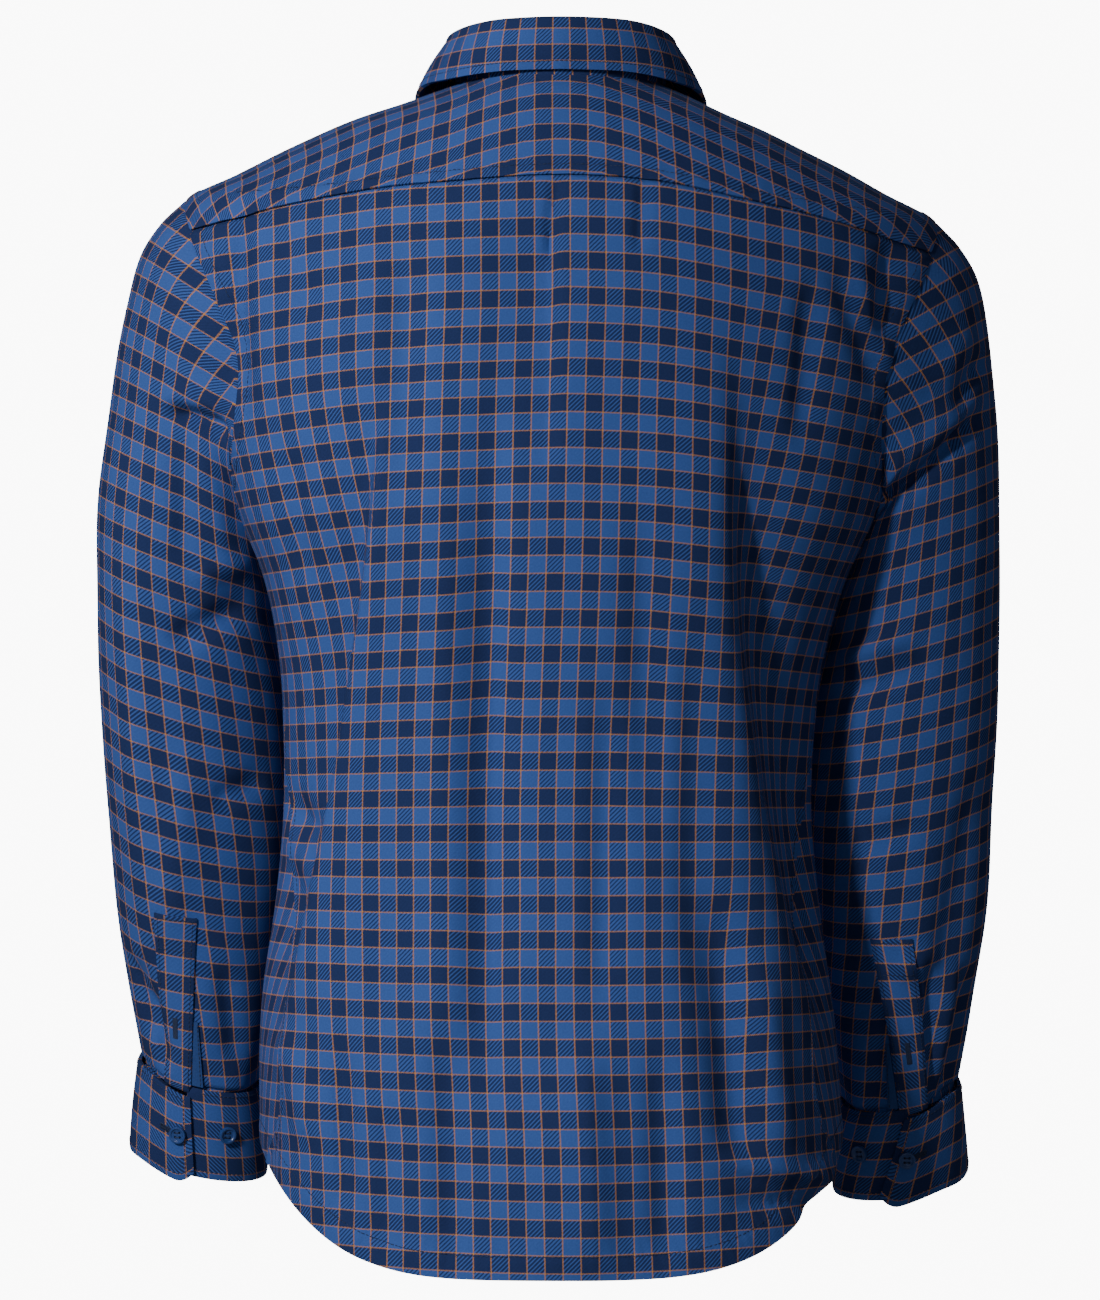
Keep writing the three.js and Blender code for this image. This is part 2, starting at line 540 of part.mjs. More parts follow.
function sleeveCloth(side, angle, down, lift = 0) {
  const point = sleeveForm(side, angle, down);
  const round = sleeveForm(side, angle + 1, down).sub(sleeveForm(side, angle - 1, down));
  const along = sleeveForm(side, angle, down + 1).sub(sleeveForm(side, angle, Math.max(down - 1, 0)));
  const out = round.cross(along).normalize().multiplyScalar(side);
  const folds = foldLift("sleeve", point, out) * smoothstep(down, 10, 60);
  return settle(point.addScaledVector(out, lift + folds), smoothstep(down, 0, 220));
}

// The cuff closes round the wrist and laps over itself; spread holds the top layer off the lower one.
const TO_HAND = new THREE.Vector3(0, WRIST_TILT, -1).normalize();
const CUFF_OFF = 0.8; // between the sleeve's end and the cuff
function cuffCloth(name, side, u, v) {
  const free = lerp(WRIST[name].flapTop, WRIST[name].flapEnd, v);
  const angle = lerp(free - CUFF_OVERLAP, free + 360, u);
  const top = ring(SLEEVE[SLEEVE.length - 1], side, angle, WRIST_TILT);
  const low = ring(CUFF_EDGE, side, angle, WRIST_TILT);
  const lapStart = 360 - CUFF_OVERLAP;
  const spread = FLAP_STEP * smoothstep(angle - free, lapStart - 40, lapStart);
  const out = new THREE.Vector3(side * Math.cos(rad(angle)), -Math.sin(rad(angle)), 0);
  const drop = FLAP_DROP * smoothstep(angle - free, lapStart, 360);
  const corner = FLAP_CORNER * clamp((u - 0.96) / 0.04, 0, 1) ** 2;
  top.addScaledVector(TO_HAND, CUFF_OFF);
  low.addScaledVector(TO_HAND, drop - corner);
  return settle(top.lerp(low, v).addScaledVector(out, spread + LINED - CLOTH), 1);
}

const SIDES = [
  { name: "left", side: -1 },
  { name: "right", side: 1 },
];
const PLACKET_END = SLEEVE_LONG - 1;
const PLACKET_HALF = deg(PLACKET.wide / 2 / 50); // half its width round a sleeve that is 50 in radius there
for (const { name, side } of SIDES) {
  const sleeve = (u, v) => sleeveCloth(side, 360 * u, SLEEVE_LONG * v);
  add(`sleeve_${name}`, wall(sleeve, 24, 16, CLOTH, side, true), flannel);
  add(`cuff_${name}`, wall((u, v) => cuffCloth(name, side, u, v), 24, 3, LINED, side), flannel);

  // The placket lies on the sleeve above the cuff, with its free edge towards the body.
  const { placketTop, placketEnd } = WRIST[name];
  const middle = (down) => lerp(placketTop, placketEnd, (down - SLEEVE_LONG) / PLACKET.long + 1);
  const placket = (u, v) => {
    const down = lerp(SLEEVE_LONG - PLACKET.long, PLACKET_END, v);
    return sleeveCloth(side, middle(down) + lerp(-PLACKET_HALF, PLACKET_HALF, u), down, PLACKET.lift + CLOTH);
  };
  add(`placket_${name}`, wall(placket, 3, 7, CLOTH, side), flannel);

  // A plain bound edge shows beside the placket, where the sleeve is open.
  const binding = (u, v) => {
    const down = lerp(SLEEVE_LONG - BINDING.long, PLACKET_END, v);
    const wide = lerp(BINDING.start, BINDING.end, v);
    const angle = middle(down) + PLACKET_HALF + lerp(BINDING.off, wide, u);
    return sleeveCloth(side, angle, down, SEAM_GAP + BINDING.thick);
  };
  add(`binding_${name}`, wall(binding, 2, 4, BINDING.thick, side), plain);
}

// A four-hole button with a raised rim, turned from its section and drilled.
function buttonGeometry() {
  const [r, t] = [BUTTON.across / 2, BUTTON.thick];
  const profile = [
    [0, 0],
    [r * 0.84, 0],
    [r, t * 0.5],
    [r - 0.4, t],
    [r - BUTTON.rim, t * 0.7],
    [0, t * 0.66],
  ];
  const disc = new THREE.LatheGeometry(profile.map(([x, y]) => new THREE.Vector2(x, y)), 12);
  const solid = (geometry) => {
    geometry.deleteAttribute("normal");
    geometry.deleteAttribute("uv");
    const merged = mergeVertices(geometry, 1e-4);
    return new wasm.Manifold(new wasm.Mesh({
      numProp: 3,
      vertProperties: merged.attributes.position.array,
      triVerts: new Uint32Array(merged.index.array),
    }));
  };
  let drilled = solid(disc);
  for (const [sx, sz] of [[1, 1], [-1, 1], [-1, -1], [1, -1]]) {
    const hole = new THREE.CylinderGeometry(BUTTON.hole, BUTTON.hole, 3 * t, 4);
    hole.translate(sx * BUTTON.holesOff, t / 2, sz * BUTTON.holesOff);
    drilled = drilled.subtract(solid(hole));
  }
  const mesh = drilled.getMesh();
  const geometry = new THREE.BufferGeometry();
  geometry.setAttribute("position", new THREE.BufferAttribute(mesh.vertProperties, 3));
  geometry.setIndex(new THREE.BufferAttribute(mesh.triVerts, 1));
  return geometry;
}
const button = buttonGeometry();

// Sews a button on a surface: it stands just off the cloth, square to it.
function sew(name, point, out) {
  const mesh = add(name, button, resin);
  mesh.quaternion.setFromUnitVectors(new THREE.Vector3(0, 1, 0), out);
  mesh.position.copy(point).addScaledVector(out, BUTTON.off);
}

function outward(surface, u, v, away) {
  const across = surface(u + 0.01, v).sub(surface(u - 0.01, v));
  const down = surface(u, v + 0.01).sub(surface(u, v - 0.01));
  const out = across.cross(down).normalize();
  return out.dot(away) < 0 ? out.negate() : out;
}

const ahead = new THREE.Vector3(0, 1, 0);
for (let i = 0; i < FRONT_BUTTONS.count; i++) {
  const v = (FRONT_BUTTONS.top - i * FRONT_BUTTONS.pitch - BAND_BOTTOM) / (BAND_TOP - BAND_BOTTOM);
  sew(`button_front_${i + 1}`, bandCloth(0.5, v), outward(bandCloth, 0.5, v, ahead));
}
const standCentre = (u, v) => standOuter(-180 + 20 * (u - 0.5), v);
sew("button_collar", standCentre(0.5, 0.5), outward(standCentre, 0.5, 0.5, ahead));

// Two buttons on each cuff: one through the buttonhole, and a spare one beside it on the layer below.
const behind = new THREE.Vector3(0, -1, 0);
for (const { name, side } of SIDES) {
  const surface = (u, v) => cuffCloth(name, side, u, v);
  const whole = 360 + CUFF_OVERLAP;
  const through = (whole - CUFF_BUTTON.through) / whole;
  const spare = (CUFF_OVERLAP + CUFF_BUTTON.spare) / whole;
  const { down } = CUFF_BUTTON;
  sew(`button_cuff_${name}`, surface(through, down), outward(surface, through, down, behind));
  sew(`button_spare_${name}`, surface(spare, down), outward(surface, spare, down, behind));
}

export default shirt;
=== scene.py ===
import math

import bpy
import numpy as np
from mathutils import Matrix, Vector


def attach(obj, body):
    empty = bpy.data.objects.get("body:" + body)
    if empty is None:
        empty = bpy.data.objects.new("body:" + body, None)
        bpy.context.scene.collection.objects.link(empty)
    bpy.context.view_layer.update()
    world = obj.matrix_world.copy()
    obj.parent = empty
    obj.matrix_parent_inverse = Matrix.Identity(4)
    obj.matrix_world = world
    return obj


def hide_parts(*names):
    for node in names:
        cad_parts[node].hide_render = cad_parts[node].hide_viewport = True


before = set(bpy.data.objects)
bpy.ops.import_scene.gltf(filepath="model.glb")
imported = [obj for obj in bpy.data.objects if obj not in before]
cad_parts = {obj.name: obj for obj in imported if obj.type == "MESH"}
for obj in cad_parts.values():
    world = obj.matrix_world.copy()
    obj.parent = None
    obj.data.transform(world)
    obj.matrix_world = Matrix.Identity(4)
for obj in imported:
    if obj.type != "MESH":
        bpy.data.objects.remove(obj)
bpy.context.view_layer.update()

# The back: one panel of brushed cotton twill, yarn-dyed in a small check, from the curved tail up to the yoke.
# It is a wall of cloth on the form that a shirt takes when it is worn. Sizes are in millimetres, the wearer's
# right is +X and the back faces -Y; its side edges are sewn to the fronts and its armholes to the sleeves.
CLOTH = 1.5
TRIM = 0.0006  # share of a panel's width that each of its edges stands back from the seam
SIDE_LAP = 0.005  # share of the back's width that each side edge laps over the front's
BACK_HEM = -741
FRONT_HEM = -712
SIDE_HEM = -660
HEM_SWEEP = 1.6
YOKE_SEAM = -55
ARMHOLE_MIDDLE = -167
ARMHOLE_TALL = 95
ARMHOLE_BACK = 66
ARMHOLE_FRONT = 62
YOKE_BACK_END = 41.6
YOKE_FRONT_END = 38
SIDE_SHARE = 0.5
RIGHT_SHOULDER_LOWER = 0.03
CELL = 11.1  # one square of the check

# Level sections of the body: height, half width, sideways shift, depth to the back and the front, squareness.
TORSO = [
    (34, 48, 0, 45, 27, 2.0),
    (22, 55, 0, 53, 32, 2.0),
    (8, 66, 0, 63, 39, 2.0),
    (0, 84, 0, 70, 44, 2.0),
    (-18, 129, 0, 81, 53, 2.08),
    (-37, 170, 0, 90, 61, 2.15),
    (-56, 206, 0, 99, 69, 2.2),
    (-72, 236, 0, 105, 77, 2.25),
    (-100, 247, 0, 112, 90, 2.3),
    (-130, 243, 0, 118, 102, 2.33),
    (-165, 231, -1, 123, 112, 2.36),
    (-205, 219, -2, 126, 119, 2.4),
    (-262, 204, -3, 126, 124, 2.4),
    (-306, 184, -4, 122, 122, 2.36),
    (-357, 172, -6, 115, 118, 2.3),
    (-408, 168, -8, 109, 114, 2.28),
    (-458, 167, -9, 107, 112, 2.28),
    (-509, 172, -9, 110, 113, 2.3),
    (-560, 179, -9, 116, 117, 2.34),
    (-611, 183, -8, 122, 121, 2.36),
    (-661, 184, -6, 126, 124, 2.38),
    (-760, 180, -4, 128, 126, 2.38),
]

# The side seams swing round to the back above the hem: share of the way up to the armhole, and turn.
SIDE_SEAM = [(0, 74), (0.07, 64.5), (0.15, 62), (0.28, 65.5), (0.45, 74), (0.66, 84), (0.83, 89.5), (1, 90)]
SIDE_FOOT = 74

# Folds in a level view of the back, from one end to the other: x, z, x, z, how far the line bows to the right,
# how far the fold stands out (a trough is negative), and its widths to the left and right of its line.
BACK_FOLDS = [
    (-117, -225, -176, -573, 6, -10, 27, 4),
    (-113, -225, -171, -573, 6, 6, 5, 38),
    (-169, -230, -163, -310, 0, -4, 8, 8),
    (-188, -428, -160, -466, 0, -5, 6, 7),
    (-186, -456, -158, -500, 0, 4, 6, 6),
    (99, -190, 160, -590, -15, 8, 42, 10),
    (114, -195, 175, -600, -15, -12, 14, 30),
    (155, -118, 150, -215, 0, -6, 8, 10),
    (-8, -78, -8, -240, 0, -8, 42, 5),
    (-42, -210, -46, -650, 0, -10, 18, 10),
    (-74, -260, -72, -600, 0, 4, 18, 16),
    (-98, -105, -98, -260, 0, -4, 12, 12),
    (30, -370, 24, -570, 0, -4, 10, 11),
    (50, -260, 54, -460, 0, -5, 12, 14),
    (80, -330, 84, -560, 0, -4, 10, 16),
    (-200, -86, -199, -205, -4, -7, 7, 9),
    (207, -90, 200, -156, 0, -8, 9, 9),
    (172, -110, 198, -180, 0, -5, 8, 8),
    (184, -104, 206, -170, 0, 3.5, 6, 6),
    (-3, -58, -7, -106, 0, -4, 4, 5),
    (51, -58, 48, -102, 0, -4, 4, 5),
    (-178, -90, -152, -150, 0, -3, 9, 9),
    (-72, -590, -66, -735, 0, -6, 12, 12),
    (12, -600, 20, -738, 0, 9, 34, 14),
    (97, -510, 114, -676, 0, -11, 16, 13),
    (120, -548, 141, -668, 0, 6, 12, 12),
    (98, -668, 172, -684, 0, 6, 5, 9),
    (108, -692, 175, -700, 0, -5, 7, 6),
    (-139, -596, -135, -700, 0, -5, 5, 9),
    (-174, -590, -156, -655, 0, 4.5, 9, 10),
    (-105, -640, -112, -728, 0, -4, 10, 12),
    (62, -600, 66, -730, 0, -5, 11, 11),
]


def at_height(table, height):
    """The columns of a table at heights between its rows, in a smooth line through them."""
    rows = np.array(table, float)
    if rows[0, 0] > rows[-1, 0]:
        rows = rows[::-1]
    keys = rows[:, 0]
    height = np.asarray(height, float)
    low = np.clip(np.searchsorted(keys, height, side="right") - 1, 0, len(keys) - 2)
    before = np.maximum(low - 1, 0)
    after = np.minimum(low + 2, len(keys) - 1)
    step = keys[low + 1] - keys[low]
    t = np.clip((height - keys[low]) / step, 0, 1)[..., None]
    lower, upper = rows[low], rows[low + 1]
    slope_low = (upper - rows[before]) * (step / (keys[low + 1] - keys[before]))[..., None]
    slope_up = (rows[after] - lower) * (step / (keys[after] - keys[low]))[..., None]
    rise = t * t * (3 - 2 * t)
    mixed = lower + (upper - lower) * rise + slope_low * t * (1 - t) ** 2 - slope_up * t * t * (1 - t)
    return np.moveaxis(mixed, -1, 0)[1:]


def ease(value, start, end):
    """Rises smoothly from 0 at start to 1 at end."""
    t = np.clip((value - start) / (end - start), 0, 1)
    return t * t * (3 - 2 * t)


def unit(vectors):
    return vectors / np.maximum(np.linalg.norm(vectors, axis=-1, keepdims=True), 1e-9)


def fold_lift(folds, points, outward):
    """How far the folds lift the cloth at points that face the camera's side of the shirt."""
    x, z = points[..., 0], points[..., 2]
    lift = np.zeros(x.shape)
    for x1, z1, x2, z2, bow, high, left, right in folds:
        dx, dz = x2 - x1, z2 - z1
        long = math.hypot(dx, dz)
        along = ((x - x1) * dx + (z - z1) * dz) / long**2
        off = ((z - z1) * dx - (x - x1) * dz) / long - bow * np.maximum(1 - (2 * along - 1) ** 2, 0)
        taper = ease(along, -0.15, 0.25) * (1 - ease(along, 0.75, 1.15))
        lift += high * taper * np.exp(-((off / np.where(off < 0, left, right)) ** 2))
    return lift * ease(np.abs(outward[..., 1]), 0.05, 0.45)


def settle(points, hung=0.0):
    """The shirt hangs a little lower on its right shoulder; hung is 1 where the cloth follows the shoulder fully."""
    x, z = points[..., 0], points[..., 2]
    share = ease(z, -420, -120)
    share = share + (1 - share) * hung
    lowered = points.copy()
    lowered[..., 2] -= RIGHT_SHOULDER_LOWER * x * ease(np.abs(x), 40, 120) * share
    return lowered


def torso_form(turn, z):
    """The bare form; turn is 0 degrees at the middle of the back, 90 at the wearer's right and 180 in front."""
    half, shift, back, front, square = at_height(TORSO, z)
    side, away = np.sin(np.radians(turn)), np.cos(np.radians(turn))
    x = shift + half * np.sign(side) * np.abs(side) ** (2 / square)
    y = -np.where(away > 0, back, front) * np.sign(away) * np.abs(away) ** (2 / square)
    return np.stack([x, y, z + 0 * x], -1)


def torso_raised(turn, z, lift=0.0, front_folds=()):
    """The body's cloth with its folds, lifted off the form, before it settles on the shoulders."""
    points = torso_form(turn, z)
    across = torso_form(turn + 0.5, z) - torso_form(turn - 0.5, z)
    up = torso_form(turn, z + 0.5) - torso_form(turn, z - 0.5)
    outward = unit(np.cross(across, up))
    at_back = fold_lift(BACK_FOLDS, points, outward)
    in_front = fold_lift(front_folds, points, outward)
    # A slight unevenness all over, which no cloth is without.
    x, y, z = np.moveaxis(points, -1, 0)
    uneven = np.sin(x / 23 + 2.1 * np.sin(z / 61)) * np.sin(z / 47 + x / 90 + y / 40)
    uneven += 0.6 * np.sin(x / 11.5 - z / 140) * np.sin(z / 37 + 1.3 * np.sin(x / 31))
    fade = ease(np.abs(z + 0 * x + 55), 0, 30)
    height = lift + np.where(outward[..., 1] < 0, at_back, in_front) + 0.55 * uneven * fade
    return points + outward * height[..., None]


def torso_cloth(turn, z, lift=0.0, front_folds=()):
    return settle(torso_raised(turn, z, lift, front_folds))


def turn_at_x(x, z, front=False):
    half, _, _, _, square = at_height(TORSO, z)
    turn = np.degrees(np.arcsin(np.clip(np.abs(x) / half, 0, 1) ** (square / 2)))
    return np.sign(x) * (180 - turn if front else turn)


def armhole(angle, side, smaller=0.0):
    """The armhole seam by degrees from its top towards the back, as a turn and a height on the body."""
    s = np.sin(np.radians(angle))
    z = ARMHOLE_MIDDLE + (ARMHOLE_TALL - smaller) * np.cos(np.radians(angle))
    y = -(np.where(s > 0, ARMHOLE_BACK, ARMHOLE_FRONT) - smaller) * s
    _, _, back, front, square = at_height(TORSO, z)
    away = (np.abs(y) / np.where(y < 0, back, front)) ** (square / 2)
    return np.stack([side * np.degrees(np.arccos(-np.sign(y) * away)), z], -1)


def between(low, high, first, last, u, v):
    """A patch filled in between its four edges, each a function from 0 to 1."""
    zero, one = np.zeros((1, 1)), np.ones((1, 1))
    du, dv = u[..., None], v[..., None]
    ruled = low(u) * (1 - dv) + high(u) * dv + first(v) * (1 - du) + last(v) * du
    corners = (first(zero) * (1 - dv) + first(one) * dv) * (1 - du)
    corners = corners + (last(zero) * (1 - dv) + last(one) * dv) * du
    return ruled - corners


def inset(u):
    return TRIM + (1 - 2 * TRIM) * u


def hem_height(turn):
    """The hem: a tail at the back and a shorter one in front, each rising to the sides."""
    from_back = np.abs(turn)
    share = np.clip(np.where(from_back < 90, from_back, np.abs(180 - from_back)) / 90, 0, 1)
    lowest = np.where(from_back < 90, BACK_HEM, FRONT_HEM)
    return lowest + (SIDE_HEM - lowest) * (1 - np.cos(math.pi * share**HEM_SWEEP)) / 2


def side_edge(side, top):
    """A panel's side: the side seam up to the armhole, and the armhole up to the yoke."""
    def edge(v):
        foot = hem_height(SIDE_FOOT)
        up = np.clip(v / SIDE_SHARE, 0, 1)
        low = np.stack([side * at_height(SIDE_SEAM, up)[0], foot + (ARMHOLE_MIDDLE - ARMHOLE_TALL - foot) * up], -1)
        bottom = math.copysign(180, top)
        high = armhole(bottom + (top - bottom) * (v - SIDE_SHARE) / (1 - SIDE_SHARE), side)
        return np.where((v < SIDE_SHARE)[..., None], low, high)
    return edge


def back_seam(across):
    """The seam of the back and the yoke, from -1 to 1."""
    end_turn, end_z = armhole(np.array(YOKE_BACK_END), 1)
    reach = torso_form(end_turn, end_z)[0] - at_height(TORSO, end_z)[1]
    z = YOKE_SEAM + (end_z - YOKE_SEAM) * np.abs(across) ** 1.8
    return np.stack([turn_at_x(across * reach, z), z], -1)


def back_hem(u):
    turn = SIDE_FOOT * (2 * u - 1)
    return np.stack([turn, hem_height(turn)], -1)


def back_place(u, v):
    """Below the armholes the back's edges lap a little over the fronts' edges."""
    edges = (back_hem, lambda s: back_seam(2 * s - 1), side_edge(-1, YOKE_BACK_END), side_edge(1, YOKE_BACK_END))
    lap = (SIDE_LAP + TRIM) * (1 - ease(v, SIDE_SHARE - 0.03, SIDE_SHARE))
    return np.moveaxis(between(*edges, 0.5 + (u - 0.5) * (1 - 2 * TRIM + 2 * lap), inset(v)), -1, 0)


def seam_ridge(distance, width, high):
    """The extra layers of a felled seam or a hem, which end at its row of stitches."""
    return high * (1 - ease(distance, width - 1.2, width + 1.2))


def seam_puckers(distance, along, deep=0.5, pitch=9.0):
    """Small puckers that a tight row of stitches draws into the cloth beside it."""
    wave = np.sin(along * 2 * math.pi / pitch + 1.7 * np.sin(along / 31))
    return deep * wave * np.exp(-((distance / 7) ** 2))


BACK_LONG = 640  # from the hem to the yoke, along the panel
BACK_WIDE = 520
HEM_TURNING = 10  # the hem is folded up by this much
FELL = 7  # width of a felled seam
UNDER_YOKE = 0.012  # share of the panel that goes on under the yoke


def back_lift(u, v):
    """What the seams add to the panel: the hem, the felled armholes, their puckers, and the part under the yoke."""
    _, z = back_place(u, v)
    from_side = np.minimum(u, 1 - u) * BACK_WIDE
    from_hem = v * BACK_LONG
    to_yoke = (1 - v) * BACK_LONG
    at_armhole = ease(v, SIDE_SHARE, SIDE_SHARE + 0.03)
    lift = seam_ridge(from_side, FELL, 0.8) * at_armhole + seam_ridge(from_hem, HEM_TURNING, 0.8)
    lift = lift + seam_ridge(from_side, 4, 0.6) * (1 - at_armhole)
    lift = lift + seam_puckers(from_hem - HEM_TURNING, u * BACK_WIDE, 0.3)
    lift = lift + seam_puckers(to_yoke, u * BACK_WIDE, 0.45, 13) * ease(to_yoke, 2, 6)
    return lift + seam_puckers(from_side - FELL, z, 0.35) * at_armhole


def back_cloth(u, v):
    reach = v * (1 + UNDER_YOKE)
    past = np.maximum(reach - 1, 0) * BACK_LONG
    turn, z = back_place(u, np.minimum(reach, 1))
    sunk = (CLOTH + 0.9) * ease(reach, 1 - 0.0035, 1 + 0.0045)
    return torso_cloth(turn, z + past, back_lift(u, np.minimum(reach, 1)) - sunk)


def level_reach(turn, z, start):
    """How far round the form a point is from the turn where its panel's columns start."""
    steps = np.linspace(0, 1, 25)
    start = start + 0 * turn
    ring = torso_form(start[..., None] + (turn - start)[..., None] * steps, z[..., None] + 0 * steps)
    length = np.linalg.norm(np.diff(ring, axis=-2), axis=-1).sum(-1)
    return np.sign(turn - start) * length


# The two long folds by height below the neck: the x of the left line and of the right valley, and the width of
# cloth that each has taken in by there.
TAKEN_IN = [
    (-120, -113, 113, 0, 0),
    (-200, -113, 113, 2, 10),
    (-286, -118.6, 114, 19, 26),
    (-362, -130, 122, 36, 43),
    (-435, -144, 138, 43, 51),
    (-495, -155, 153, 46, 54),
    (-573, -171, 170, 51, 58),
    (-745, -178, 180, 60, 62),
]


def back_threads(u, v):
    """Where each point lies on the check. Cloth hidden in the two long folds skips columns outside them."""
    turn, z = back_place(u, np.minimum(v * (1 + UNDER_YOKE), 1))
    x = torso_form(turn, z)[..., 0]
    reach = level_reach(turn, z, 0.0)
    left, right, from_left, from_right = at_height(TAKEN_IN, z)
    reach = reach - from_left * (0.7 * (1 - ease(x, left - 5, left + 1)) + 0.3 * (1 - ease(x, left - 40, left + 30)))
    reach = reach + from_right * (0.8 * ease(x, right - 17, right + 15) + 0.2 * ease(x, right - 40, right + 40))
    bow = np.interp(-z, [55, 180, 320, 510, 660, 745], [36, 29, 17, 0, -9, -13])
    row = z + bow * (np.abs(x) / 230) ** 1.8
    return np.stack([reach / CELL + 100.5, row / CELL + 100.3], -1)


def linear(sheet_colour):
    """An sRGB hex colour as Blender's linear one."""
    parts = [int(sheet_colour[i:i + 2], 16) / 255 for i in (1, 3, 5)]
    return (*(c / 12.92 if c <= 0.04045 else ((c + 0.055) / 1.055) ** 2.4 for c in parts), 1.0)


def add_node(tree, kind, settings, links):
    """Adds a node: its settings by name, and its sockets by name or number, each a value or another's output."""
    made = tree.nodes.new(kind)
    for key, value in settings.items():
        setattr(made, key, value)
    for key, value in links.items():
        if isinstance(value, bpy.types.NodeSocket):
            tree.links.new(value, made.inputs[key])
        else:
            made.inputs[key].default_value = value
    return made


def mixed(tree, share, first, second):
    """The colour between two others; share is 0 for the first and 1 for the second."""
    return add_node(tree, "ShaderNodeMix", {"data_type": "RGBA"}, {0: share, 6: first, 7: second}).outputs[2]


def new_material(name, finish):
    """A material, its node tree and its shader, with the shader's plain values set by socket name."""
    material = bpy.data.materials.new(name)
    material.use_nodes = True
    shader = material.node_tree.nodes["Principled BSDF"]
    for socket, value in finish.items():
        shader.inputs[socket].default_value = value
    return material, material.node_tree, shader


def brushed_flannel():
    """Brushed cotton twill: navy and royal blue yarns by turns both ways, with a thin orange yarn at each change.
    A light nap softens it, so it is matt with a faint sheen, and where the colours cross it shows fine diagonals."""
    navy, royal, orange = linear("#223059"), linear("#3a589a"), linear("#c2843e")
    line_share = 0.9 / CELL / 2  # the orange yarns are 0.9 mm wide
    twill = 4  # diagonals per cell, drawn coarser than the real 6.5, so that they show
    warp_share = (0.24, 0.37)  # on a diagonal the warp shows beyond the middle of this, about a third of its width
    fine_twill = 11  # the orange yarns keep their real 1 mm
    fine_share = (0.15, 0.31)
    material, tree, shader = new_material("brushed_flannel", {
        "Roughness": 0.92, "Specular IOR Level": 0.08, "Sheen Weight": 0.04, "Sheen Roughness": 0.5,
        "Sheen Tint": linear("#9fb4dc")})

    def sums(operation, *values, clamp=False):
        settings = {"operation": operation, "use_clamp": clamp}
        return add_node(tree, "ShaderNodeMath", settings, dict(enumerate(values))).outputs[0]

    place = add_node(tree, "ShaderNodeUVMap", {"uv_map": "threads"}, {}).outputs[0]
    axes = add_node(tree, "ShaderNodeSeparateXYZ", {}, {0: place})
    warp_way, weft_way = axes.outputs["X"], axes.outputs["Y"]
    warp, weft = (mixed(tree, sums("LESS_THAN", sums("MODULO", way, 2.0), 1.0), royal, navy)
                  for way in (warp_way, weft_way))
    warp_lines, weft_lines = (sums("LESS_THAN", sums("PINGPONG", way, 0.5), line_share)
                              for way in (warp_way, weft_way))
    diagonal = sums("SUBTRACT", weft_way, warp_way)
    warp_shows, fine_shows = (
        add_node(tree, "ShaderNodeMapRange", {"interpolation_type": "SMOOTHSTEP"},
                 {"Value": sums("PINGPONG", sums("MULTIPLY", diagonal, count), 0.5),
                  "From Min": share[0], "From Max": share[1]}).outputs[0]
        for count, share in ((twill, warp_share), (fine_twill, fine_share)))
    yarns = mixed(tree, warp_shows, weft, warp)
    on_top = sums("MULTIPLY", warp_lines, fine_shows)
    line = sums("MULTIPLY_ADD", weft_lines, sums("SUBTRACT", 1.0, fine_shows), on_top, clamp=True)
    lined = mixed(tree, line, yarns, orange)
    nap = add_node(tree, "ShaderNodeTexNoise", {}, {"Vector": place, "Scale": 9.0, "Detail": 5.0,
                                                     "Roughness": 0.7}).outputs[0]
    worn = add_node(tree, "ShaderNodeMapRange", {}, {"Value": nap, "From Min": 0.25, "From Max": 0.75,
                                                     "To Min": 0.84, "To Max": 1.16}).outputs[0]
    napped = add_node(tree, "ShaderNodeVectorMath", {"operation": "SCALE"}, {0: lined, "Scale": worn})
    weave = sums("MULTIPLY_ADD", warp_shows, 0.5, nap)
    bump = add_node(tree, "ShaderNodeBump", {}, {"Strength": 0.35, "Distance": 0.0003, "Height": weave})
    tree.links.new(napped.outputs[0], shader.inputs["Base Color"])
    tree.links.new(bump.outputs[0], shader.inputs["Normal"])
    return material


flannel = brushed_flannel()


def put(name, data):
    """A new object in the scene, at the origin."""
    made = bpy.data.objects.new(name, data)
    bpy.context.collection.objects.link(made)
    return made


def pick(*objects):
    """Selects these objects alone; the first is the active one."""
    bpy.ops.object.select_all(action="DESELECT")
    for each in objects:
        each.select_set(True)
    bpy.context.view_layer.objects.active = objects[0]


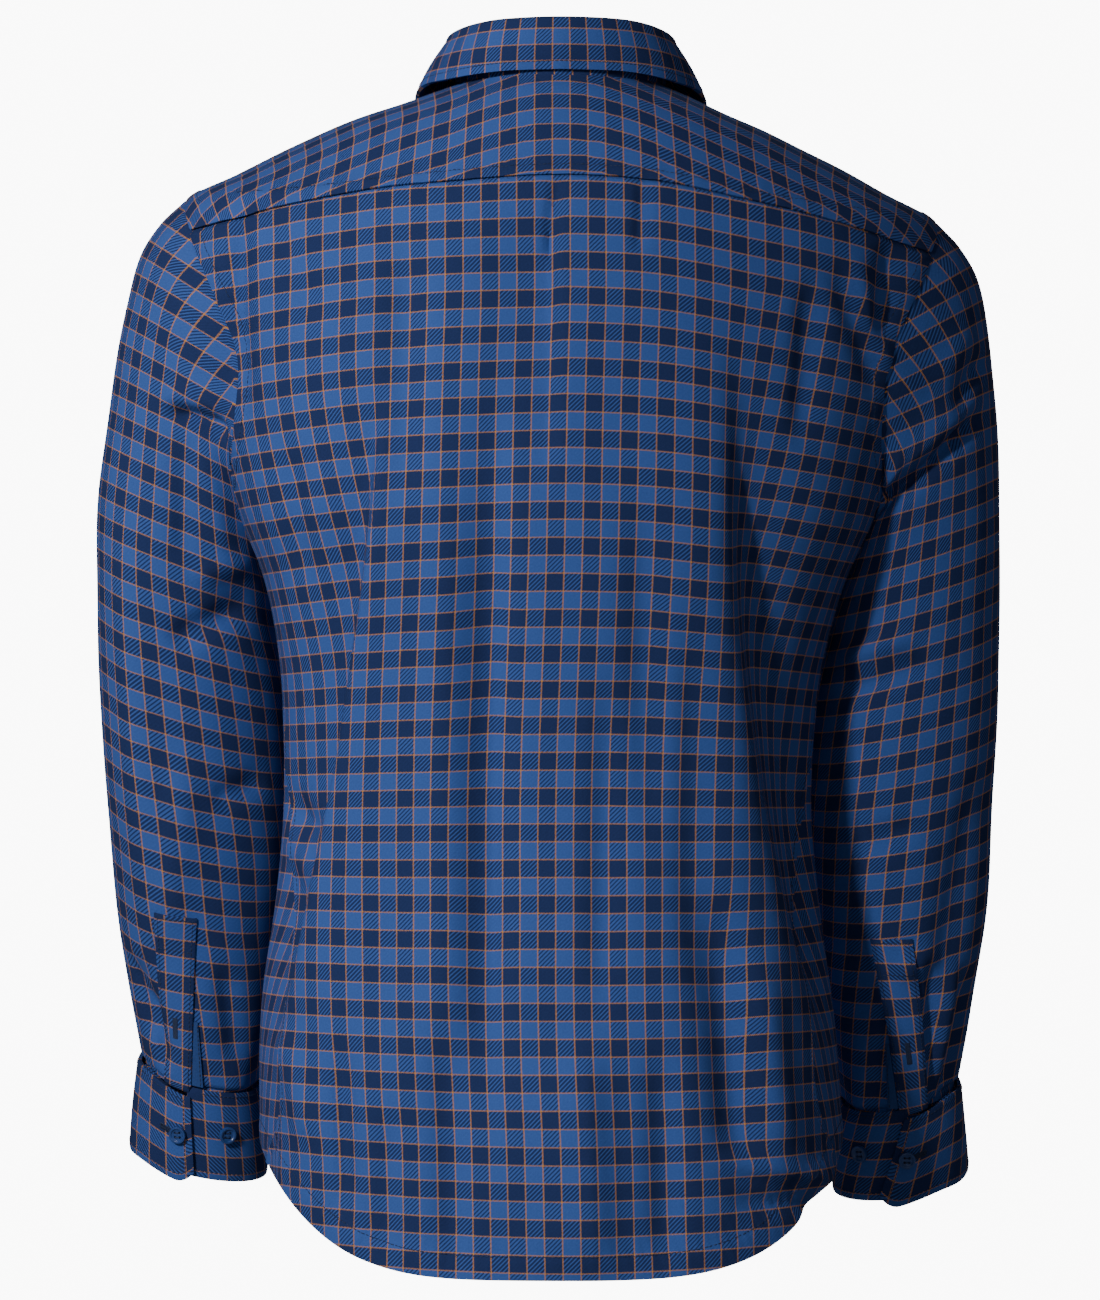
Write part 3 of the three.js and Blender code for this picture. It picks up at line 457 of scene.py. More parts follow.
def cut_cloth(name, surface, threads, columns, rows, out, thick=CLOTH, wrap=False, material=flannel):
    across_at = np.linspace(0, 1, columns + 1) if isinstance(columns, int) else columns
    down_at = np.linspace(0, 1, rows + 1) if isinstance(rows, int) else rows
    columns, rows = len(across_at) - 1, len(down_at) - 1
    u, v = np.meshgrid(across_at, down_at)
    outer = surface(u, v)
    padded = np.concatenate([outer[:, -2:-1], outer, outer[:, 1:2]], 1) if wrap else outer
    outward = unit(np.cross(np.gradient(padded, axis=1), np.gradient(padded, axis=0))) * out
    if wrap:
        outward = outward[:, 1:-1]
    inner = outer - outward * thick
    wide = columns if wrap else columns + 1
    points = np.concatenate([skin[:, :wide].reshape(-1, 3) for skin in (outer, inner)]) / 1000
    j, i = np.meshgrid(np.arange(rows), np.arange(columns), indexing="ij")
    corner_rows = np.stack([j, j, j + 1, j + 1], -1).reshape(-1, 4)
    corner_columns = np.stack([i, i + 1, i + 1, i], -1).reshape(-1, 4)
    if out < 0:
        corner_rows, corner_columns = corner_rows[:, ::-1], corner_columns[:, ::-1]
    skin_size = (rows + 1) * wide
    layers = [np.zeros_like(corner_rows), np.ones_like(corner_rows)]
    faces = [(corner_rows, corner_columns, layers[0]),
             (corner_rows[:, ::-1], corner_columns[:, ::-1], layers[1])]
    k = np.arange(columns)
    rims = [(0 * k, k, 0 * k, k + 1), (0 * k + rows, k + 1, 0 * k + rows, k)]
    if not wrap:
        k = np.arange(rows)
        rims += [(k + 1, 0 * k, k, 0 * k), (k, 0 * k + columns, k + 1, 0 * k + columns)]
    for row_a, column_a, row_b, column_b in rims:
        rim_rows = np.stack([row_b, row_a, row_a, row_b], -1)
        rim_columns = np.stack([column_b, column_a, column_a, column_b], -1)
        rim_layers = np.tile([0, 0, 1, 1], (len(row_a), 1))
        if out < 0:
            rim_rows, rim_columns = rim_rows[:, ::-1], rim_columns[:, ::-1]
            rim_layers = rim_layers[:, ::-1]
        faces.append((rim_rows, rim_columns, rim_layers))
    all_rows, all_columns, all_layers = (np.concatenate(part) for part in zip(*faces))
    corners = all_layers * skin_size + all_rows * wide + all_columns % wide
    mesh = bpy.data.meshes.new(name)
    mesh.from_pydata(points.tolist(), [], corners.tolist())
    mesh.shade_smooth()
    piece = put(name, mesh)
    if threads:
        cloth_map = mesh.uv_layers.new(name="threads")
        cloth_map.data.foreach_set("uv", threads(u, v)[all_rows, all_columns].ravel())
    mesh.materials.append(material)
    pick(piece)
    bpy.ops.object.shade_smooth_by_angle(angle=math.radians(50))
    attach(piece, "root")
    return piece


fine_ends = [0, 0.002, 0.004, 0.007, 0.010, 0.013, 0.016]  # closer lines at the seams, for their ridges
back_columns = np.array(fine_ends + list(np.linspace(0.021, 0.979, 186)) + [1 - end for end in fine_ends[::-1]])
back_rows = np.array(fine_ends + list(np.linspace(0.020, 0.975, 196))
                     + [0.979, 0.982, 0.984, 0.986, 0.988, 0.990, 0.992, 0.995, 1])
STITCH_PITCH = 3.0
# One stitch lies along X: a short flattened bar of six sides, in millimetres, its ends sunk into the cloth.
STITCH = [(x, 0.27 * math.cos(a), 0.1 * depth + 0.2 * math.sin(a))
          for x, depth in ((-1.15, -2.5), (-0.6, 0.5), (0.6, 0.5), (1.15, -2.5))
          for a in np.radians(range(0, 360, 60))]
STITCH_SIDES = [(6 * i + j, 6 * i + (j + 1) % 6, 6 * i + 6 + (j + 1) % 6, 6 * i + 6 + j)
                for i in range(3) for j in range(6)]
STITCH_ENDS = [(5, 4, 3, 2, 1, 0), (18, 19, 20, 21, 22, 23)]


def grained(name, grain_scale, dark, light, finish, bump_strength=0.0, bump_deep=0.0):
    """A material whose colour wanders between two tones in a fine grain, with a bump of the same grain."""
    material, tree, shader = new_material(name, finish)
    place = add_node(tree, "ShaderNodeTexCoord", {}, {})
    grain = add_node(tree, "ShaderNodeTexNoise", {}, {"Vector": place.outputs["Object"], "Scale": grain_scale})
    tree.links.new(mixed(tree, grain.outputs[0], linear(dark), linear(light)), shader.inputs["Base Color"])
    if bump_strength:
        bump = add_node(tree, "ShaderNodeBump", {}, {"Strength": bump_strength, "Distance": bump_deep,
                                                     "Height": grain.outputs[0]})
        tree.links.new(bump.outputs[0], shader.inputs["Normal"])
    return material


def spun_thread():
    """Spun polyester thread: twisted and matt, so a fine bump runs across it."""
    return grained("spun_thread", 1500.0, "#121c36", "#203258", {"Roughness": 0.7}, 0.3, 0.0001)


thread = spun_thread()


def sew(name, surface, rows, out, pitch=STITCH_PITCH, across=False):
    """Sews rows of stitches on a cloth's surface: each row is a list of (u, v) corners. All are one mesh of copied
    stitches. out is 1 or -1 as for the cloth; across turns each stitch square to its row, as round a buttonhole."""
    points, faces = [], []
    for row in rows:
        corners = np.array(row, float)
        t = np.linspace(0, len(corners) - 1, 600 * (len(corners) - 1) + 1)
        u, v = (np.interp(t, np.arange(len(corners)), corners[:, axis])[None, :] for axis in (0, 1))
        line = surface(u, v)[0]
        du = surface(u + 0.002, v)[0] - surface(u - 0.002, v)[0]
        dv = surface(u, v + 0.002)[0] - surface(u, v - 0.002)[0]
        outward = unit(np.cross(du, dv)) * out
        run = np.concatenate([[0], np.cumsum(np.linalg.norm(np.diff(line, axis=0), axis=-1))])
        middles = np.arange(pitch / 2, run[-1], pitch)
        at, ahead, behind, up = (np.stack([np.interp(place, run, values[:, axis]) for axis in range(3)], -1)
                                 for place, values in ((middles, line), (middles + 0.4, line),
                                                       (middles - 0.4, line), (middles, outward)))
        up = unit(up)
        along = unit(ahead - behind)
        side = np.cross(up, along)
        if across:
            along, side = side, -along
        for centre, x_axis, y_axis, z_axis in zip(at, along, side, up):
            start = len(points)
            points += [(centre + x * x_axis + y * y_axis + (z + 0.1) * z_axis) / 1000 for x, y, z in STITCH]
            faces += [[start + corner for corner in face] for face in STITCH_SIDES + STITCH_ENDS]
    mesh = bpy.data.meshes.new(name)
    mesh.from_pydata([tuple(point) for point in points], [], faces)
    mesh.shade_smooth()
    mesh.materials.append(thread)
    stitches = put(name, mesh)
    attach(stitches, "root")


back = cut_cloth("back_cloth", back_cloth, back_threads, back_columns, back_rows, 1)
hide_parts("back")
at_hem = HEM_TURNING / BACK_LONG
fell = FELL / BACK_WIDE
sew("back_stitches", back_cloth, [[(0.01, at_hem), (0.25, at_hem), (0.5, at_hem), (0.75, at_hem), (0.99, at_hem)],
                                  [(fell, SIDE_SHARE + 0.01), (fell, 0.98)],
                                  [(1 - fell, SIDE_SHARE + 0.01), (1 - fell, 0.98)],
                                  [(0.008, 0.02), (0.008, SIDE_SHARE - 0.01)],
                                  [(0.992, 0.02), (0.992, SIDE_SHARE - 0.01)]], 1)

# The yoke: one piece of the same flannel across both shoulders, sewn to the neck, the back, the fronts and the
# sleeves. Its folded lower edge lies on the back, with a row of stitches just above the edge.
NECK_WIDE = 66
NECK_DEEP = 62.5
NECK_MIDDLE = 1.5
NECK_TO_YOKE_FRONT = 115
NECK_TO_YOKE_BACK = 52
SHOULDER_SHARE = 0.25


def under_plan(x, y):
    """The turn and height of the form under points of the plan."""
    low, high = np.full(x.shape, -130.0), np.full(x.shape, 34.0)
    for _ in range(26):  # each halving comes closer to the height
        z = (low + high) / 2
        half, _, back_deep, front_deep, square = at_height(TORSO, z)
        reach = (np.abs(x) / half) ** square + (np.abs(y) / np.where(y < 0, back_deep, front_deep)) ** square
        low, high = np.where(reach > 1, low, z), np.where(reach > 1, z, high)
    half, _, back_deep, front_deep, square = at_height(TORSO, low)
    side = np.sign(x) * (np.abs(x) / half) ** (square / 2)
    away = -np.sign(y) * (np.abs(y) / np.where(y < 0, back_deep, front_deep)) ** (square / 2)
    return np.degrees(np.arctan2(side, away)), low


def neck_plan(turn, grown=0.0):
    """The neck seam in plan, by degrees from the middle of the back."""
    turn = np.radians(turn)
    return np.stack([(NECK_WIDE + grown) * np.sin(turn), NECK_MIDDLE - (NECK_DEEP + grown) * np.cos(turn)], -1)


def yoke_outer(t):
    side = np.where(t < 0.5, -1, 1)
    inward = np.minimum(t, 1 - t) / SHOULDER_SHARE
    shoulder = armhole(-YOKE_FRONT_END + (YOKE_BACK_END + YOKE_FRONT_END) * np.minimum(inward, 1), side)
    seam = back_seam(np.clip((2 * t - 1) / (1 - 2 * SHOULDER_SHARE), -1, 1))
    turn, z = np.moveaxis(np.where((inward < 1)[..., None], shoulder, seam), -1, 0)
    points = torso_form(turn, z)
    return np.stack([points[..., 0] - at_height(TORSO, z)[1], points[..., 1]], -1)


def yoke_inner(t):
    side = np.where(t < 0.5, -1, 1)
    from_end = np.minimum(t, 1 - t)
    near = NECK_TO_YOKE_FRONT + (NECK_TO_YOKE_BACK - NECK_TO_YOKE_FRONT) * from_end / SHOULDER_SHARE
    far = NECK_TO_YOKE_BACK * (0.5 - from_end) / (0.5 - SHOULDER_SHARE)
    return neck_plan(side * np.where(from_end < SHOULDER_SHARE, near, far))


def yoke_front_seam(side):
    """The seam of the yoke and a front, straight in plan from the neck to the armhole."""
    end = np.zeros((1, 1)) if side < 0 else np.ones((1, 1))
    return lambda v: yoke_inner(end) * (1 - v[..., None]) + yoke_outer(end) * v[..., None]


def yoke_plan(u, v):
    edges = (yoke_inner, yoke_outer, yoke_front_seam(-1), yoke_front_seam(1))
    return np.moveaxis(between(*edges, inset(u), 0.003 + 0.994 * v), -1, 0)


YOKE_STITCHES = 6  # from its lower edge
FRONT_SEAM_FELL = 6
YOKE_DEEP = 78
SHOULDER_DEEP = 170  # from the neck to the armhole
FRONT_SEAM_APART = 330  # from one front seam to the other, round the back of the neck


def yoke_cloth(u, v):
    x, y = yoke_plan(u, v)
    turn, z = under_plan(x, y)
    from_end = np.minimum(u, 1 - u)
    at_back = ease(from_end, SHOULDER_SHARE - 0.01, SHOULDER_SHARE + 0.02)
    from_seam = (1 - v) * YOKE_DEEP
    lift = seam_ridge(from_seam, YOKE_STITCHES, 0.9) + seam_puckers(from_seam - YOKE_STITCHES, x, 0.45, 12)
    lift = lift * at_back + seam_ridge((1 - v) * SHOULDER_DEEP, FELL, 0.7) * (1 - at_back)
    lift = lift + seam_ridge(from_end * FRONT_SEAM_APART, FRONT_SEAM_FELL, 0.7) * (1 - at_back)
    return torso_cloth(turn, z, lift)


def yoke_threads(u, v):
    """Columns are measured across the shoulders and rows from front to back, both along the cloth."""
    x, y = yoke_plan(u, v)
    steps = np.linspace(0, 1, 17)

    def cloth_length(xs, ys):
        heights = np.minimum(under_plan(xs, ys)[1], 12)
        run = np.stack([xs, ys, heights], -1)
        return np.linalg.norm(np.diff(run, axis=-2), axis=-1).sum(-1)

    columns = np.sign(x) * cloth_length(x[..., None] * steps, y[..., None] + 0 * steps)
    rows = -np.sign(y) * cloth_length(x[..., None] + 0 * steps, y[..., None] * steps)
    return np.stack([columns / CELL + 101.5, -rows / CELL + 100.1], -1)


yoke = cut_cloth("yoke_cloth", yoke_cloth, yoke_threads, 220, 56, -1)
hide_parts("yoke")
above_seam = 1 - YOKE_STITCHES / YOKE_DEEP
off_armhole = 1 - FELL / SHOULDER_DEEP
off_front = FRONT_SEAM_FELL / FRONT_SEAM_APART
sew("yoke_stitches", yoke_cloth, [[(0.265, above_seam), (0.5, above_seam), (0.735, above_seam)],
                                  [(0.01, off_armhole), (0.24, off_armhole)],
                                  [(0.99, off_armhole), (0.76, off_armhole)],
                                  [(off_front, 0.05), (off_front, 0.95)],
                                  [(1 - off_front, 0.05), (1 - off_front, 0.95)]], -1)

# The fronts: a left and a right panel of flannel, joined to the back at the side seams and to the yoke on the
# shoulders. The wearer's left one laps over the right one, where the buttons hold them together.
BAND_HALF = 17
NECK_SHARE = 1 / 3
SIDE_OF = {"left": -1, "right": 1}
FRONT_FOLDS = [
    (-190, -150, -120, -330, 0, 6, 20, 16),
    (190, -150, 118, -340, 0, 6, 16, 20),
    (-118, -330, -138, -640, 0, 7, 16, 32),
    (112, -340, 128, -650, 0, 7, 32, 16),
    (-72, -420, -78, -690, 0, -5, 18, 18),
    (66, -400, 72, -690, 0, -5, 18, 18),
    (-170, -120, -110, -210, 0, -3, 11, 11),
    (168, -118, 112, -215, 0, -3, 11, 11),
    (-70, -110, -76, -260, 0, 2, 18, 18),
    (74, -120, 78, -280, 0, 2, 18, 18),
    (-182, -330, -150, -400, 0, -3, 9, 9),
    (176, -340, 150, -410, 0, -3, 9, 9),
    (-40, -300, -48, -480, 0, -2, 12, 12),
    (40, -260, 44, -470, 0, -2, 12, 12),
    (-160, -520, -150, -660, 0, -3, 14, 14),
    (150, -520, 146, -660, 0, -3, 14, 14),
]


def front_place(side, u, v):
    past = -side * BAND_HALF
    neck_turn = 180 + math.degrees(math.asin(BAND_HALF / NECK_WIDE))

    def top(s):
        on_neck = s < NECK_SHARE
        neck = neck_plan(side * (neck_turn + (NECK_TO_YOKE_FRONT - neck_turn) * np.minimum(s / NECK_SHARE, 1)))
        seam = yoke_front_seam(side)(np.clip((s - NECK_SHARE) / (1 - NECK_SHARE), 0, 1))
        x, y = np.moveaxis(np.where(on_neck[..., None], neck, seam), -1, 0)
        turn, z = under_plan(x, y)
        return np.stack([np.where(on_neck & (turn * side < 0), turn + side * 360, turn), z], -1)

    neck_end = top(np.zeros((1, 1)))[0, 0]

    def hem(s):
        start = side * 360 + turn_at_x(past, FRONT_HEM, True)
        turn = start + (side * SIDE_FOOT - start) * s
        return np.stack([turn, hem_height(turn)], -1)

    def edge(t):
        z = FRONT_HEM + (neck_end[1] - FRONT_HEM) * t
        turn = side * 360 + turn_at_x(past, z, True)
        return np.stack([turn + (neck_end[0] - turn) * t**8, z], -1)

    outer = side_edge(side, -YOKE_FRONT_END)
    return np.moveaxis(between(hem, top, edge, outer, inset(u), inset(v)), -1, 0)


FRONT_WIDE = 270
FRONT_LONG = 640


def front_cloth(side):
    def surface(u, v):
        turn, z = front_place(side, u, v)
        from_side = (1 - u) * FRONT_WIDE
        lift = seam_ridge(from_side, FELL, 0.7) * ease(v, SIDE_SHARE, SIDE_SHARE + 0.03)
        lift = lift + seam_ridge(v * FRONT_LONG, HEM_TURNING, 0.7)
        if side > 0:
            under = 1 - ease(torso_form(turn, z)[..., 0], BAND_HALF + 8, BAND_HALF + 44)
            lift = lift - under * (CLOTH + 0.6)
        return torso_cloth(turn, z, lift, FRONT_FOLDS)
    return surface


def front_threads(side):
    def threads(u, v):
        turn, z = front_place(side, u, v)
        reach = level_reach(turn, z, side * 180.0) - side * np.interp(-z, [300, 620, 745], [0, 40, 62]) * (
            1 - ease(np.abs(turn), 62, 120))
        x = np.abs(torso_form(turn, z)[..., 0])
        row = z + np.interp(-z, [60, 250, 450, 740], [20, 12, 0, -8]) * (x / 230) ** 1.8
        return np.stack([reach / CELL + 100.5, row / CELL + 100.3], -1)
    return threads


for name, side in SIDE_OF.items():
    front = cut_cloth(f"front_{name}_cloth", front_cloth(side), front_threads(side), 124, 190, -side)
    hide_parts(f"front_{name}")
    at_hem = HEM_TURNING / FRONT_LONG
    fell = 1 - FELL / FRONT_WIDE
    sew(f"front_{name}_stitches", front_cloth(side), [[(0.02, at_hem), (0.5, at_hem), (0.99, at_hem)],
                                                      [(fell, SIDE_SHARE + 0.02), (fell, 0.98)]], -side)

# The button band: a straight strip of flannel, folded and sewn on the left front's edge from the neck to the hem.
BAND_LIFT = 2.1
BAND_BOTTOM = FRONT_HEM + 0.5
BAND_TOP = under_plan(np.zeros((1, 1)), np.full((1, 1), NECK_MIDDLE + NECK_DEEP))[1][0, 0] - 2


def band_cloth(u, v):
    z = BAND_BOTTOM + (BAND_TOP - BAND_BOTTOM) * v
    x = BAND_HALF - 2 * BAND_HALF * u
    turn = turn_at_x(np.where(x == 0, -1e-6, x), z, True) - np.where(x > 0, 360, 0)
    edge = 1 - ease(np.minimum(u, 1 - u) * 2 * BAND_HALF, 0, 1.5)
    return torso_cloth(turn, z, BAND_LIFT - 0.4 * edge, FRONT_FOLDS)


def band_threads(u, v):
    return np.stack([(u - 0.5) * 2 * BAND_HALF / CELL + 100.5, v * 660 / CELL + 100.2], -1)


band = cut_cloth("button_band", band_cloth, band_threads, 16, 260, 1)
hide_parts("front_band")
sew("band_stitches", band_cloth, [[(0.13, 0.01), (0.13, 0.99)], [(0.87, 0.01), (0.87, 0.99)]], 1)

# The collar stand: two layers of flannel with interlining, sewn round the neck. It closes in front with a button.
LINED = 2.3
STAND_BACK = 30
STAND_FRONT = 24
STAND_OVERLAP = 10


def stand_outer(turn, up):
    spiral = (LINED + 0.5) * ease(-turn, 150, 180)
    plan = neck_plan(turn, 0.6 + spiral + 1.2 * up)
    base = neck_plan(turn)
    floor = under_plan(base[..., 0], base[..., 1])[1] - 1.2
    tall = 3.1 + STAND_BACK + (STAND_FRONT - STAND_BACK) * ease(np.abs(turn), 30, 100)
    return settle(np.concatenate([plan, (floor + tall * up)[..., None]], -1))


def stand_cloth(u, v):
    reach = 180 + STAND_OVERLAP
    return stand_outer(reach * (2 * u - 1), v)


def stand_threads(u, v):
    return np.stack([u * 430 / CELL + 100, v * STAND_BACK / CELL + 100.6], -1)


stand = cut_cloth("collar_stand_cloth", stand_cloth, stand_threads, 180, 12, 1, LINED)
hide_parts("collar_stand")
sew("stand_stitches", stand_cloth, [[(0.01, 0.12), (0.5, 0.12), (0.99, 0.12)]], 1)

# The collar: two layers of flannel with interlining, which rolls over the top of the stand and falls to a
# topstitched edge, with a point on each side of the front.
COLLAR_END = 170
COLLAR_ROLL = 4.2  # radius of the roll over the stand
COLLAR_CROWN = 0.16  # share of the collar that rolls before it falls
# Its free edge, by degrees round the neck from the middle of the back: x, y and z.
COLLAR_EDGE = [
    (0, 0, -67, 13),
    (30, 40, -59, 12),
    (60, 72, -36, 8),
    (88, 90.5, 2, 3.5),
    (106, 93, 35, -9),
    (124, 88, 57, -32),
    (142, 77, 71, -54),
    (157, 66, 80, -70),
    (170, 54, 86, -82),
]


def collar_cloth(u, v):
    turn = COLLAR_END * (2 * u - 1)
    x, y, z = at_height(COLLAR_EDGE, np.abs(turn))
    free = settle(np.stack([np.sign(turn) * x, y, z], -1))
    top = stand_outer(turn, np.ones(turn.shape))
    away = np.stack([np.sin(np.radians(turn)), -np.cos(np.radians(turn)), 0 * turn], -1)
    up = np.array([0, 0, 1.0])
    centre = top + away * 1.2 - up * 0.6
    angle = np.radians(np.clip(v / COLLAR_CROWN, -1, 1) * 90)[..., None]
    rolled = centre + away * COLLAR_ROLL * np.sin(angle) + up * COLLAR_ROLL * np.cos(angle)
    start = centre + away * COLLAR_ROLL
    share = np.clip((v - COLLAR_CROWN) / (1 - COLLAR_CROWN), 0, 1)[..., None]
    fall = start + (free - start) * share + away * 1.6 * np.sin(share * math.pi)
    return np.where((v < COLLAR_CROWN)[..., None], rolled, fall)


def collar_threads(u, v):
    turn = np.radians(COLLAR_END * (2 * u - 1))
    free = at_height(COLLAR_EDGE, np.abs(np.degrees(turn)))[2]
    tall = 38 + (13 - free) * 0.55
    return np.stack([turn * 78 / CELL + 101.5, -v * tall / CELL + 100.9], -1)


collar_rows = np.linspace(-COLLAR_CROWN, 1, 43)  # the first of them go down inside the stand's top edge
collar = cut_cloth("collar_cloth", collar_cloth, collar_threads, 200, collar_rows, -1, LINED)
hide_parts("collar")
sew("collar_stitches", collar_cloth, [[(0.013, 0.25), (0.013, 0.9), (0.25, 0.87), (0.5, 0.85), (0.75, 0.87),
                                       (0.987, 0.9), (0.987, 0.25)]], -1)

# The sleeves: each one tube of flannel, set in the armhole under the body's edge, with its seam under the arm.
# They hang forward a little at the wrist, as a relaxed arm holds them, with pleats taken into the cuff.
WRIST_TILT = 0.28
SLEEVE_LONG = 570
UNDER_CUFF = 9  # the sleeve goes on under the cuff
SLEEVE_HEAD = 6  # and under the body's edge
# Rings down a sleeve, as on the right arm: down, outer x and z, inner x and z, shift, middle in y, the inner side's
# own shift in y, and the depths to the back and front.
SLEEVE = [
    (0, 237, -72, 205, -262, 0, 0, 0, 62, 60),
    (22, 252, -87, 201, -268, -0.5, 0, 2, 60, 60),
    (50, 265, -108, 193, -279, -1, 0, 9, 58, 60),
    (85, 273, -138, 186, -291, -2, 1, 16, 57, 61),
    (130, 279, -180, 181, -306, -4, 3, 24, 57, 62),
    (180, 284, -229, 175, -322, -6, 7, 34, 58, 62),
    (235, 287, -283, 172, -341, -8, 12, 40, 60, 61),
    (295, 287, -343, 166, -378, -8, 19, 38, 58, 59),
    (355, 285, -404, 163, -426, -8, 28, 34, 56, 56),
    (415, 282, -465, 165, -478, -7, 40, 26, 53, 53),
    (470, 278, -521, 171, -530, -7, 54, 16, 49, 49),
    (520, 271, -570, 178, -580, -7, 67, 6, 45, 45),
    (570, 263, -618, 187, -634, -7, 81, 0, 40, 41),
]
SLEEVE_BACK_FOLDS = [
    (198, -257, 262, -196, -2, -9.8, 6, 4),
    (192, -246, 256, -186, -2, 7, 7, 13),
    (247, -192, 266, -159, 0, -5.6, 5, 6),
    (238, -176, 256, -142, 0, 3.5, 7, 8),
    (-246, -209, -202, -223, 3, -8.4, 5, 6),
    (-250, -198, -206, -208, 3, 4.2, 6, 9),
    (-226, -228, -212, -300, 0, 3.4, 9, 9),
    (-238, -224, -238, -300, 0, -2.8, 7, 7),
    (180, -372, 232, -352, 0, -5.6, 8, 8),
    (178, -352, 220, -336, 0, 4.2, 7, 7),
    (-276, -300, -264, -545, 0, 4.2, 10, 14),
    (-200, -330, -246, -352, 0, -5.6, 9, 9),
    (-196, -300, -232, -310, 0, 4.2, 9, 9),
    (-238, -430, -250, -540, 0, 3.5, 12, 12),
    (262, -430, 243, -560, 0, -5.6, 11, 12),
    (190, -470, 226, -455, 0, -4.2, 9, 9),
    (-190, -440, -220, -452, 0, -3.5, 8, 8),
    (214, -550, 240, -535, 0, 3.5, 8, 8),
    (-274, -556, -264, -606, 0, -5.6, 3, 8),
    (-266, -576, -253, -624, 0, -5.6, 3, 7),
    (-214, -560, -207, -620, 0, -3.4, 7, 8),
    (258, -550, 245, -630, 0, -6.3, 3, 8),
    (251, -545, 239, -625, 0, 3.5, 6, 5),
    (234, -540, 238, -640, 0, -3.5, 3, 6),
    (204, -580, 200, -640, 0, -3.1, 6, 7),
]
SLEEVE_FRONT_FOLDS = [
    (-200, -250, -258, -200, 0, 6, 13, 13),
    (200, -250, 258, -200, 0, 6, 13, 13),
    (-188, -400, -256, -380, 0, -6, 12, 12),
    (176, -400, 246, -380, 0, -6, 12, 12),
    (-186, -430, -240, -420, 0, 4, 9, 9),
    (176, -430, 230, -420, 0, 4, 9, 9),
    (-250, -560, -240, -620, 0, -3, 9, 9),
    (236, -560, 230, -630, 0, -3, 9, 9),
]


def ring(row, side, angle, tilt):
    out_x, out_z, in_x, in_z, shift, middle, in_y, back_deep, front_deep = row
    c, s = np.cos(np.radians(angle)), np.sin(np.radians(angle))
    x = in_x + (out_x - in_x) * (1 + c) / 2
    z = in_z + (out_z - in_z) * (1 + c) / 2
    y = s * np.where(s > 0, back_deep, front_deep)
    return np.stack([side * x + shift, middle + in_y * (1 - c) / 2 - y, z - tilt * y], -1)


TO_HAND = np.array([0, WRIST_TILT, -1]) / math.hypot(WRIST_TILT, 1)


def sleeve_form(side, angle, down):
    step, middle = 25, 5  # how far back the lean is measured, and the column of a ring's middle in y
    row = at_height(SLEEVE, down)
    before = at_height(SLEEVE, np.maximum(down - step, 0))
    points = ring(row, side, angle, np.clip((row[middle] - before[middle]) / step, 0, WRIST_TILT))
    points = points + TO_HAND * np.maximum(down - SLEEVE_LONG, 0)[..., None]
    joined = ease(down, 0, 60)[..., None]
    under = np.maximum(-down, 0) + 0 * angle
    turn, z = np.moveaxis(armhole(angle, side, 1.5 - under), -1, 0)
    sunk = ease(under, 0, 4.5)
    seam = torso_raised(turn, z, -(CLOTH + 0.8) * sunk, FRONT_FOLDS) + (1 - sunk[..., None]) * [side * 1.1, 0, 0]
    moved = points - ring(SLEEVE[0][1:], side, angle, 0)
    return points * joined + (seam + moved) * (1 - joined)


def sleeve_lifted(side, angle, down, lift=0.0):
    points = sleeve_form(side, angle, down)
    around = sleeve_form(side, angle + 1, down) - sleeve_form(side, angle - 1, down)
    along = sleeve_form(side, angle, down + 1) - sleeve_form(side, angle, down - 1)
    outward = unit(np.cross(around, along)) * side
    at_back = fold_lift(SLEEVE_BACK_FOLDS, points, outward)
    in_front = fold_lift(SLEEVE_FRONT_FOLDS, points, outward)
    folds = np.where(outward[..., 1] < 0, at_back, in_front) * ease(down, 6, 40)
    x, y, z = np.moveaxis(points, -1, 0)
    uneven = np.sin(z / 19 + x / 33 + side) * np.sin(x / 21 + y / 27 + z / 70) * ease(down, 20, 80)
    height = lift + folds + 0.6 * uneven
    return settle(points + outward * height[..., None], ease(down, 0, 220))


# On each cuff, by degrees round the wrist: the middle of the placket above it and beside it, and the free edge of
# the cuff's lap at its top and bottom.
WRIST = {"left": (76, 70, 83, 88), "right": (98, 79, 88, 109)}
CUFF_OVERLAP = 58
LAP_DROP = 7  # the lap's top edge drops towards its free end


def lap_drop(side, angle):
    """How far the top edge of the cuff's lap has dropped, and with it the end of the sleeve."""
    free = WRIST["left" if side < 0 else "right"][2]
    return LAP_DROP * ease((angle - free) % 360, 360 - CUFF_OVERLAP, 360)


def sleeve_cloth(side):
    def surface(u, down):
        angle = 360 * u - 180
        to_cuff = SLEEVE_LONG - down
        around = np.abs(angle) / 360
        gathers = np.sin(angle / 9.5) * (1 - ease(to_cuff, 4, 50)) * (1 - ease(-to_cuff, 0, 4))
        gathers = gathers * ease(around, 0.1, 0.2)
        end = SLEEVE_LONG + lap_drop(side, angle)
        tucked = -2.6 * ease(down, end - 3, end + 1)
        # The felled seam under the arm.
        felled = 0.7 * (1 - ease(360 * (0.5 - around), 6, 9)) * (angle < 0) * ease(down, 12, 30)
        return sleeve_lifted(side, angle, down, gathers + tucked + felled)
    return surface


